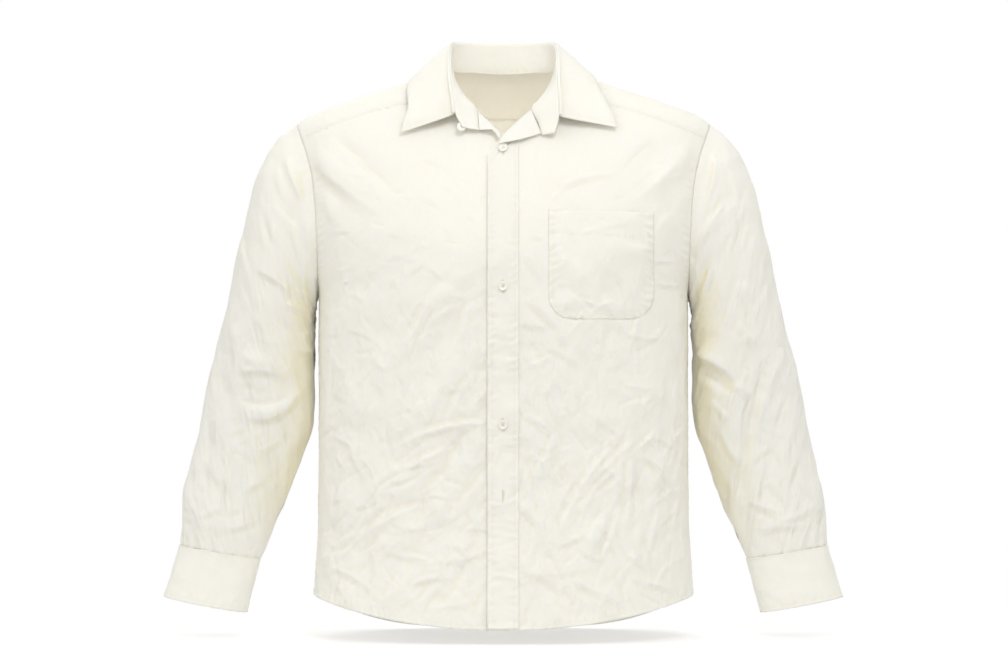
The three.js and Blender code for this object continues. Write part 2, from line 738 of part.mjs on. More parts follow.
/** The armhole once round, from the armpit up the front, over the yoke and down the back. */
function armholeRing() {
  const heights = (top) => seamHeights(top).slice(ROWS.side);
  const onPanel = (z, side) => {
    const x = z <= ARMPIT ? halfAt(z) : armholeX(z);
    return vec(x, depthAt(x, z, side), z);
  };
  const front = heights(FRONT_ARMHOLE_TOP).map((z) => onPanel(z, -1));
  const over = yokeSide.slice().reverse().map(([x, turn]) => atRidge(x, turn));
  const back = heights(BACK_ARMHOLE_TOP).reverse().map((z) => onPanel(z, 1));
  return [...front, ...over.slice(1), ...back.slice(1, -1)];
}

/** The angle round the sleeve of each armhole point, measured on the first section. */
function ringAngles(ring) {
  const [head] = SLEEVE;
  const middle = vec((head.outerX + head.innerX) / 2, head.y, (head.outerZ + head.innerZ) / 2);
  const up = vec(head.outerX, head.y, head.outerZ).sub(middle);
  return ring.map((p) => {
    const from = p.clone().sub(middle);
    const out = from.dot(up) / up.lengthSq();
    const forward = -from.y / head.depth;
    const unround = (t) => Math.sign(t) * Math.pow(Math.abs(t), SLEEVE_POWER / 2);
    return Math.atan2(unround(forward), unround(out));
  });
}

const armholePoints = armholeRing();
const armholeAngles = ringAngles(armholePoints);

/** A point of the sleeve: its place along the sections, and which armhole point it hangs from. */
function sleevePoint(at, j) {
  const p = sectionPoint(sleeveRows, at, armholeAngles[j]);
  const head = sectionPoint(sleeveRows, 0, armholeAngles[j]);
  const left = clamp(1 - at / SLEEVE_HEAD_BLEND) ** 2;
  return p.addScaledVector(armholePoints[j].clone().sub(head), left);
}

/** How much of a fold the sleeve takes: none at its seams and none on its inner side. */
function sleeveFoldShare(at, angle) {
  const last = SLEEVE.length - 1;
  return ease(0.5, 2.5, at) * (1 - ease(last - 0.8, last, at)) * ease(0.1, 0.7, Math.abs(Math.sin(angle)))
    * ease(-1.02, -0.75, Math.cos(angle));
}

/** The sleeve of the wearer's left (sign 1) or right arm. */
function sleeveGrid(sign) {
  const last = SLEEVE.length - 1;
  const stations = spread(0, last, COLUMNS.sleeveRows);
  const grid = stations.map((at) => armholePoints.map((_, j) => sleevePoint(at, j)));
  const normals = normalsOf(grid, true);
  return grid.map((row, i) => row.map((p, j) => {
    const angle = armholeAngles[j];
    const at = (i / COLUMNS.sleeveRows) * last;
    const side = Math.sin(angle) > 0 ? -1 : 1;
    const height = foldAt(p.x * sign, p.z, side) * sleeveFoldShare(at, angle);
    return p.clone().addScaledVector(normals[i][j], -height);
  }));
}

/** Moves the first ring out so that the sleeve's edge stands clear of the panels' edges. */
function clearOfArmhole(grid) {
  return grid.map((row, i) => row.map((p) => (i === 0 ? p.clone().add(vec(SEAM_GAP, 0, 0)) : p)));
}

/** A sleeve's wall. Its head keeps its thickness in the armhole's own plane. */
function sleeveWall(grid) {
  const normals = normalsOf(grid, true);
  normals[0].forEach((normal) => {
    normal.x = 0;
    normal.normalize();
  });
  return wall(grid, CLOTH, true, normals);
}

/** Turns a closed wall round, so that its faces point out, and mirrors it for the other arm. */
function mirrored(geometry, sign) {
  const index = geometry.getIndex().array;
  const position = geometry.getAttribute('position');
  for (let i = 0; i < position.count; i += 1) position.setX(i, position.getX(i) * sign);
  if (sign > 0) return geometry;
  for (let i = 0; i < index.length; i += 3) [index[i], index[i + 1]] = [index[i + 1], index[i]];
  return geometry;
}

const SIDES = [['left', 1], ['right', -1]];

for (const [name, sign] of SIDES) {
  const grid = insetEdges(clearOfArmhole(sleeveGrid(sign)), true);
  const reversed = grid.map((row) => [...row].reverse());
  add(`sleeve_${name}`, mirrored(sleeveWall(reversed), sign));
}

// ---- cuffs --------------------------------------------------------------------------------------

// The angles round the cuff: from the slit once round, and on over its own first stretch.
const cuffAngles = spread(
  CUFF.slitAngle,
  CUFF.slitAngle - 2 * Math.PI - CUFF.lap / CUFF_SECTIONS[0].depth,
  CUFF.columns,
);

/** A cuff is an open band: its last stretch rises clear of its first and lies over it. */
function cuffGrid() {
  const last = CUFF_SECTIONS.length - 1;
  return spread(0, last, CUFF.rows).map((at) => cuffAngles.map((angle, j) => {
    const p = sectionPoint(cuffRows, at, angle);
    const middle = sectionPoint(cuffRows, at, 0).add(sectionPoint(cuffRows, at, Math.PI)).multiplyScalar(0.5);
    const rise = CUFF.lapRise * ease(CUFF.columns - 5, CUFF.columns - 3, j);
    const out = p.clone().sub(middle).normalize();
    return p.addScaledVector(out, rise);
  }).reverse());
}

for (const [name, sign] of SIDES) {
  add(`cuff_${name}`, mirrored(wall(cuffGrid(), DOUBLE_CLOTH), sign), IVORY.turned);
}

// ---- sleeve plackets, on the slit above each cuff -----------------------------------------------

/** A pointed strip on the back of the sleeve, along the slit. */
function sleevePlacketGrid(sign) {
  const last = SLEEVE.length - 1;
  const foot = last - 0.12;
  const head = last - 2.7;
  const heights = [0, 0.2, 0.4, 0.6, 0.8, 0.9, 1];
  const shaped = sleeveGrid(sign);
  const normals = normalsOf(shaped, true);
  return heights.map((v) => {
    const at = lerp(foot, head, v);
    const half = SLEEVE_PLACKET.half * (v <= 0.9 ? 1 : lerp(1, 0.12, (v - 0.9) / 0.1));
    return [-1, 0, 1].map((u) => {
      const angle = CUFF.slitAngle - (u * half) / SLEEVE_PLACKET.turnRadius;
      return onSleeve(shaped, normals, at, angle);
    });
  });
}

/** The point and normal of the sleeve's own face at a section and an angle. */
function onSleeve(grid, normals, at, angle) {
  const last = SLEEVE.length - 1;
  const row = (at / last) * COLUMNS.sleeveRows;
  const i = Math.min(Math.floor(row), COLUMNS.sleeveRows - 1);
  const count = armholeAngles.length;
  const turn = (value) => ((value % (2 * Math.PI)) + 2 * Math.PI) % (2 * Math.PI);
  for (let j = 0; j < count; j += 1) {
    const from = turn(armholeAngles[j]);
    const step = turn(armholeAngles[j] - armholeAngles[(j + 1) % count]);
    const past = turn(from - turn(angle));
    if (past > step) continue;
    const u = past / step;
    const v = row - i;
    const blend = (source) => source[i][j].clone().multiplyScalar((1 - u) * (1 - v))
      .addScaledVector(source[i][(j + 1) % count], u * (1 - v))
      .addScaledVector(source[i + 1][j], (1 - u) * v)
      .addScaledVector(source[i + 1][(j + 1) % count], u * v);
    return { point: blend(grid), normal: blend(normals).normalize() };
  }
  throw new Error(`no face of the sleeve at ${at}, ${angle}`);
}

for (const [name, sign] of SIDES) {
  const strip = layOn(sleevePlacketGrid(sign), CLOTH, -1);
  add(`sleeve_placket_${name}`, mirrored(strip, sign), IVORY.turned);
}

// ---- collar -------------------------------------------------------------------------------------

/** One half of the collar's rows, from the middle of the back to the free end, seam heights worked out. */
function collarRows(side) {
  const sewn = [...COLLAR, ...COLLAR_FRONT[side]];
  const onSeam = sewn.map((row) => ({ ...row, seamZ: heightAt(row.seamX, row.seamY) }));
  return numbered([...onSeam, ...COLLAR_FREE[side]]);
}

const COLLAR_ROWS = { left: collarRows('left'), right: collarRows('right') };
const column = (table, name, at) => vec(...['X', 'Y', 'Z'].map((axis) => along(table, name + axis, at)));

/** The stand: a strip from the neck seam up to the fold, a little hollow between them. */
function standHalf(side) {
  const table = COLLAR_ROWS[side];
  const last = table.length - 1;
  return spread(0, last, COLLAR_SIZE.columns).map((at) => {
    const seam = column(table, 'seam', at);
    const fold = column(table, 'fold', at);
    const up = fold.clone().sub(seam).normalize();
    seam.addScaledVector(up, COLLAR_SIZE.seamLift);
    return spread(0, 1, COLLAR_SIZE.standRows).map((v) => seam.clone().lerp(fold, v));
  });
}

/** The leaf: from the fold it rolls over and falls outside the stand to its outer edge. */
function leafHalf(side) {
  const table = COLLAR_ROWS[side];
  const end = table.length - 2;
  return spread(0, end, COLLAR_SIZE.columns).map((at) => {
    const seam = column(table, 'seam', at);
    const fold = column(table, 'fold', at);
    const edge = column(table, 'edge', at);
    const up = fold.clone().sub(seam).normalize();
    const ahead = column(table, 'fold', Math.min(at + 0.05, end));
    const run = ahead.sub(column(table, 'fold', Math.max(at - 0.05, 0)));
    const out = run.cross(up).normalize();
    if (out.dot(edge.clone().sub(fold)) < 0) out.negate();
    const start = fold.clone().addScaledVector(up, COLLAR_SIZE.rollGap);
    const crest = start.clone().addScaledVector(up, COLLAR_SIZE.rollRise);
    crest.addScaledVector(out, COLLAR_SIZE.rollOut);
    const shoulder = start.clone().addScaledVector(out, 2 * COLLAR_SIZE.rollOut);
    const belly = shoulder.clone().lerp(edge, 0.5).addScaledVector(out, COLLAR_SIZE.belly);
    const curve = new THREE.CatmullRomCurve3([start, crest, shoulder, belly, edge], false, 'centripetal');
    return COLLAR_SIZE.leafSteps.map((t) => curve.getPoint(t));
  });
}

/** Joins the two halves across the middle of the back, the right one mirrored. */
function wholeCollar(half) {
  const right = half('right').map((line) => line.map((p) => vec(-p.x, p.y, p.z)));
  const strip = [...right.reverse(), ...half('left').slice(1)];
  return strip[0].map((_, k) => strip.map((line) => line[k]));
}

add('collar_stand', wall(wholeCollar(standHalf).reverse(), DOUBLE_CLOTH), IVORY.turned);
add('collar_leaf', wall(wholeCollar(leafHalf), DOUBLE_CLOTH), IVORY.turned);

// ---- the fronts' top corners, turned out like small lapels ---------------------------------------

/** A corner's strip, from its roll line on the neck seam to its free edge. */
function turnGrid(side, sign) {
  const grid = TURN[side].map((row) => {
    const sunk = sign < 0 ? lapSink(row.rollX) : 0;
    const roll = vec(row.rollX, row.rollY + sunk, heightAt(row.rollX, row.rollY));
    const free = vec(row.freeX, row.freeY, row.freeZ);
    const lift = sign > 0 ? TURN_SIZE.liftLeft : TURN_SIZE.liftRight;
    roll.lerp(free, TURN_SIZE.clear).add(vec(0, -lift, 0));
    const middle = roll.clone().lerp(free, 0.5).add(vec(0, -TURN_SIZE.belly, 0));
    return [roll, middle, free].map((p) => vec(p.x * sign, p.y, p.z));
  });
  return sign > 0 ? grid.reverse() : grid;
}

for (const [name, sign] of SIDES) {
  add(`front_turn_${name}`, wall(turnGrid(name, sign), CLOTH), IVORY.turned);
}

// ---- buttons ------------------------------------------------------------------------------------

/** A round button with a raised rim and a dished middle, lying in the XY plane. */
function buttonShape() {
  const { radius, thick, rim, dish } = BUTTON;
  const profile = [
    [0, 0],
    [radius - 0.8, 0],
    [radius, 0.8],
    [radius, thick - 0.4],
    [radius - 0.4, thick],
    [radius - rim, thick],
    [radius - rim - 0.7, thick - dish],
    [0, thick - dish],
  ].map(([x, y]) => new THREE.Vector2(x, y));
  return new THREE.LatheGeometry(profile, BUTTON.sides).rotateX(Math.PI / 2);
}

/** Adds a button that stands on a spot, a gap above the piece below it. */
function addButton(name, { point, normal }, above) {
  const turn = new THREE.Quaternion().setFromUnitVectors(vec(0, 0, 1), normal);
  const geometry = buttonShape().applyQuaternion(turn);
  const seat = point.clone().addScaledVector(normal, above);
  geometry.translate(...seat.toArray());
  add(name, geometry, IVORY.button, 0.35);
}

const frontNormals = normalsOf(leftFront, false);
const onPlacket = LAY_GAP + DOUBLE_CLOTH + SEAM_GAP;
BUTTON_HEIGHTS.forEach((z, i) => {
  addButton(`button_${i + 1}`, onPanel(leftFront, frontNormals, BUTTON.x, z), onPlacket);
});

/** A spot on a grid of points, at one of its rows and columns. */
function spotOn(grid, i, j, sign = 1) {
  const point = grid[i][j].clone();
  const normal = normalsOf(grid, false)[i][j];
  return { point: vec(point.x * sign, point.y, point.z), normal: vec(normal.x * sign, normal.y, normal.z) };
}

for (const [name, sign] of SIDES) {
  addButton(`cuff_button_${name}`, spotOn(cuffGrid(), 1, 2, sign), SEAM_GAP);
}

// The collar's button is on the wearer's right end of the stand, whose inner face is turned out,
// so it peeps out from behind the corner.
const standGrid = wholeCollar(standHalf).reverse();
addButton('collar_button', spotOn(standGrid, 0, 0), CORNER_GAP);

export default shirt;
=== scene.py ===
# %% [markdown]
# # A crumpled button-up shirt
# This lesson dresses a long-sleeved cotton shirt that stands filled out, as if somebody wore it.
# The solids of the shirt come first, as a fixed frame. Every piece of cloth made here lies on the
# solid that it stands for, so nothing is fitted by eye. Sizes are in millimetres until a mesh is made.

import math

import bpy
import numpy as np
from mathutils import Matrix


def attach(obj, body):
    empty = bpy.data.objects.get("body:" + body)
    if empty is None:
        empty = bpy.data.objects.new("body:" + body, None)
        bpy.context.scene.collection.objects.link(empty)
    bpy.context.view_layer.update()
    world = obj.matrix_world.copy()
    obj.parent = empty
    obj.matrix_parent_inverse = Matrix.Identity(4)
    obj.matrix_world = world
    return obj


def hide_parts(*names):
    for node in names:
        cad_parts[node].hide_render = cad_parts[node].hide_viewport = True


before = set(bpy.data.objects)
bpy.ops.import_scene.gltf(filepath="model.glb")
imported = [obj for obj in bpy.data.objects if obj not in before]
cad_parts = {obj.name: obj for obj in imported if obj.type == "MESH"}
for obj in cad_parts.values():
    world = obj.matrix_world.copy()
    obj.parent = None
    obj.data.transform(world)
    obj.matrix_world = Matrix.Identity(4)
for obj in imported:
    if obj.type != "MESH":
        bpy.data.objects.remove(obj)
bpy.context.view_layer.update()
MM = 0.001

# %% [markdown]
# A camera far away, with a long lens, shows cloth without making the near parts swell. This one
# stands four metres off, level with the middle of the shirt, and looks straight along +Y.

# %% The camera
CAMERA_AWAY = 4.0
CAMERA_HEIGHT = -0.288
LENS = 119.05

camera_data = bpy.data.cameras.new("camera")
camera_data.lens = LENS
camera_data.sensor_width = 36
camera = bpy.data.objects.new("camera", camera_data)
camera.location = (0.0006, -CAMERA_AWAY, CAMERA_HEIGHT)
camera.rotation_euler = (math.pi / 2, 0, 0)
bpy.context.scene.collection.objects.link(camera)
bpy.context.scene.camera = camera
print("camera", tuple(round(v, 4) for v in camera.location))

# %% [markdown]
# ## Smooth curves through short tables
# A pattern cutter fixes a curve by a few measured points and draws it through them. The same is done
# here: a monotone cubic goes through each table and never swings past its points.

# %% Curves through tables
def through(xs, ys, at):
    """A smooth curve through the points (xs, ys), read at many places at once."""
    xs, ys = np.asarray(xs, float), np.asarray(ys, float)
    slope = np.diff(ys) / np.diff(xs)
    product = slope[:-1] * slope[1:]
    total = np.where(product > 0, slope[:-1] + slope[1:], 1.0)
    inner = np.where(product > 0, 2 * product / total, 0.0)
    tangent = np.concatenate([slope[:1], inner, slope[-1:]])
    at = np.clip(np.asarray(at, float), xs[0], xs[-1])
    i = np.clip(np.searchsorted(xs, at, side="right") - 1, 0, len(xs) - 2)
    span = xs[i + 1] - xs[i]
    t = (at - xs[i]) / span
    low = (2 * t**3 - 3 * t**2 + 1) * ys[i] + (t**3 - 2 * t**2 + t) * span * tangent[i]
    return low + (3 * t**2 - 2 * t**3) * ys[i + 1] + (t**3 - t**2) * span * tangent[i + 1]


def ease(low, high, value):
    """0 below low, 1 above high, and smooth between."""
    t = np.clip((np.asarray(value, float) - low) / (high - low), 0, 1)
    return t * t * (3 - 2 * t)


def lerp(a, b, t):
    return a + (b - a) * t


def stack(*values):
    return np.stack(np.broadcast_arrays(*values), axis=-1).astype(float)


print("the curve at the half", through([0, 1, 2], [0, 1, 4], 0.5))

# %% [markdown]
# ## The body
# A filled-out shirt is nearly a tube that is flattened from front to back. Each height has one
# rounded-square ring, and above the chest the cloth arches over to the shoulder ridge. These tables
# are the solid's own, so the cloth and the solid share one surface.

# %% The body's sizes
BODY = np.array([
    [-660, 229, 121, 112], [-595, 227, 122, 111], [-500, 221.5, 120, 106], [-400, 221, 118, 102],
    [-300, 221, 119, 104], [-240, 221, 121, 108], [-200, 230, 122, 111], [-158, 242, 121, 112],
    [-113, 247, 120, 112], [-75, 253, 119, 111], [-50, 258, 118, 110], [-20, 262, 118, 110],
    [60, 262, 118, 110],
]).T  # height, half width, front, back
RIDGE = np.array([
    [0, 50], [30, 48], [60, 36], [72, 29.5], [90, 24], [114, 17.5], [143, 7.5], [182, -5],
    [215, -17], [238, -27.5], [248, -35], [262, -52],
]).T
ARMHOLE = np.array([
    [-240, 221], [-200, 220.5], [-158, 221.5], [-113, 225], [-75, 233], [-53, 241], [-35, 248],
]).T
FRONT_YOKE = np.array([[56, 8], [114, -11], [140, -17], [183, -31], [241, -53]]).T
NECK = np.array([
    [0, -78], [17, -70], [34, -61], [43, -52], [51, -43], [56, -36], [64, -16], [65, 8], [58, 30],
    [44, 45], [24, 54], [0, 57],
]).T
NECK_CORNER = 5
RING_POWER = 2.4
SIDE_FOOT, ARMPIT = -597.0, -240.0
HEM_FRONT = (-631.0, 34.0, 2.0)  # lowest, how far it rises to the side seam, how late it rises
HEM_BACK = (-647.0, 50.0, 3.6)
LAP_LEFT, LAP_RIGHT, LAP_SINK = 19.4, 17.0, 2.2
print("body rings", BODY.shape[1], "neck points", NECK.shape[1])

# %% [markdown]
# The rings could be lofted with a modifier, but then a pocket or a stitch could not ask where the
# cloth is. A function that answers for any width and height serves every layer, so it is used here.

# %% The body's surface
def ridge_at(x):
    return through(*RIDGE, np.abs(x))


def half_at(z):
    return through(BODY[0], BODY[1], z)


def armhole_x(z):
    return through(*ARMHOLE, z)


def arch_reach(x, side):
    """How far the arch below the ridge reaches down, and the share that comes from the shoulder."""
    t = ease(60, 220, np.abs(x))
    return lerp(250 if side < 0 else 140, 160, t), t


def depth_at(x, z, side):
    """How far the front (side -1) or the back (side 1) stands out."""
    reach = np.clip(np.abs(x) / half_at(z), 0, 1)
    ring = (1 - reach**RING_POWER) ** (1 / RING_POWER)
    height, t = arch_reach(x, side)
    power = lerp(1.5 if side < 0 else 2.0, 2.2, t)
    rest = 1 - np.clip((ridge_at(x) - z) / height, 0, 1)
    arch = (1 - rest**power) ** (1 / power)
    return side * through(BODY[0], BODY[2 if side < 0 else 3], z) * ring * arch


def height_at(x, y):
    """The height of the upper body at one place in plan."""
    side = -1 if y < 0 else 1
    high = float(ridge_at(x))
    low = high - float(arch_reach(x, side)[0])
    for _ in range(40):
        middle = (low + high) / 2
        if abs(float(depth_at(x, middle, side))) > abs(y):
            low = middle
        else:
            high = middle
    return (low + high) / 2


def swing(turn):
    """How far out a turn round the ring reaches, from 0 in the middle to 1 at the side seam."""
    return np.abs(np.sin(turn * math.pi / 2)) ** (2 / RING_POWER)


def at_turn(turn, z, side):
    """A point of the body. Turn is 0 in the middle and 1 or -1 at the side seams."""
    turn = np.clip(turn, -1, 1)
    x = np.sign(turn) * half_at(z) * swing(turn)
    return stack(x, depth_at(x, z, side), z)


def turn_of(x, z):
    reach = np.clip(np.abs(x) / half_at(z), 0, 1)
    return np.sign(x) * 2 * np.arcsin(reach ** (RING_POWER / 2)) / math.pi


print("chest depth", round(float(depth_at(0, -300, -1)), 1), round(float(depth_at(0, -300, 1)), 1))

# %% [markdown]
# ## Layers on a surface
# A pocket on a front, a stitch on a hem and a fold in a sleeve are all the same thing: a point of a
# surface, moved out along the normal. So each surface is written as a function of two numbers, and
# one helper lifts any point of it by any height.

# %% Lifting points off a surface
def unit(vectors):
    return vectors / np.maximum(np.linalg.norm(vectors, axis=-1, keepdims=True), 1e-9)


def base_normals(place, a, b, facing, step_a, step_b):
    """The normals of the surface place(a, b), found from its neighbours."""
    along = place(a + step_a, b) - place(a - step_a, b)
    up = place(a, b + step_b) - place(a, b - step_b)
    return facing * unit(np.cross(along, up))


def grid_normals(points):
    """The normals of a grid of points, from its neighbours: right across up."""
    return unit(np.cross(np.gradient(points, axis=1), np.gradient(points, axis=0)))


def lifted(points, normals, height):
    return points + normals * np.asarray(height, float)[..., None]


print("lifted by 2:", lifted(np.zeros(3), np.array([0, 0, 1]), 2))

# %% [markdown]
# ## Folds and creases
# Crumpled cotton has two kinds of form. A few large folds run from where the cloth is held, such as
# the armholes, and each is placed as a soft ridge or trough. Between them lie many small
# sharp creases. The ones that give the shirt its look are placed one by one too, and the rest, which
# are too many to place, come from rules with a fixed seed. A cloth simulation could crumple a panel,
# but it would not put a crease where it is wanted.

# %% The large folds
FOLDS = np.array([  # side x0 z0 x1 z1 half height
    [-1, -232, -62, -140, -150, 13, 4.5], [-1, -200, -48, -112, -140, 12, -3.5],
    [-1, -225, -105, -170, -190, 12, 3], [-1, 226, -62, 158, -134, 13, 4.5],
    [-1, 196, -48, 130, -128, 12, -3.5], [-1, 222, -110, 190, -180, 10, 3],
    [-1, -60, -230, -112, -330, 12, 2.5], [-1, -50, -310, -150, -480, 12, 3],
    [-1, -40, -400, -130, -520, 10, -3], [-1, -70, -480, -190, -580, 12, 3.5],
    [-1, -120, -440, -205, -520, 11, 2.5], [-1, -185, -330, -165, -430, 14, 2],
    [-1, 70, -300, 140, -440, 12, 3], [-1, 60, -420, 110, -560, 12, -3],
    [-1, 150, -400, 120, -540, 11, 3.5], [-1, 190, -420, 160, -560, 13, 3],
    [-1, 120, -500, 60, -590, 10, 3], [-1, -310, -310, -235, -335, 12, 6],
    [-1, -318, -345, -245, -368, 12, -5], [-1, -300, -380, -236, -372, 12, 5],
    [-1, -270, -150, -300, -330, 14, 3.5], [-1, 232, -300, 282, -338, 10, 6],
    [-1, 262, -352, 300, -372, 10, 4], [-1, 268, -120, 262, -290, 13, 3.5],
    [-1, 330, -300, 352, -470, 14, 3], [-1, -330, -380, -340, -500, 13, 3],
    [-1, 300, -505, 380, -520, 9, 3], [-1, -380, -505, -300, -525, 9, 3],
    [1, -225, -90, -120, -220, 14, 4], [1, 225, -95, 125, -235, 14, 4],
    [1, -60, -260, -150, -420, 13, 3], [1, 40, -330, 150, -470, 13, 3],
    [1, -30, -420, -120, -600, 12, 3.5], [1, 60, -430, 20, -600, 12, -3],
    [1, 185, -380, 130, -590, 13, 3.5], [1, -200, -430, -170, -590, 13, 3],
    [1, -330, -320, -245, -350, 13, 5], [1, 330, -330, 245, -352, 13, 5],
    [1, -345, -400, -262, -418, 12, 4], [1, 345, -395, 262, -420, 12, 4],
    [1, 285, -110, 275, -280, 13, 3], [1, -285, -110, -275, -290, 13, 3],
])


def fold_height(x, z, side, sharp=2.0):
    """The height of the placed folds. Sharp is 2 for a soft fold and near 1 for a crease."""
    height = np.zeros(np.shape(x))
    for x0, z0, x1, z1, half, high in FOLDS[FOLDS[:, 0] == side, 1:]:
        run, rise = x1 - x0, z1 - z0
        length = math.hypot(run, rise)
        t = ((x - x0) * run + (z - z0) * rise) / length**2
        off = ((x - x0) * rise - (z - z0) * run) / length
        fade = np.sin(math.pi * np.sqrt(np.clip(t, 0, 1))) ** 2
        height += high * fade * np.exp(-np.abs(off / half) ** sharp)
    return height


print("large folds", len(FOLDS))

# %% [markdown]
# The creases that give this shirt its look are thin and sharp. They run mostly from the middle down
# to the side seams, in fans, with short ones across them, and round the elbows. Each row is one
# crease: where it starts and ends, how wide and high it is and how much it bends.

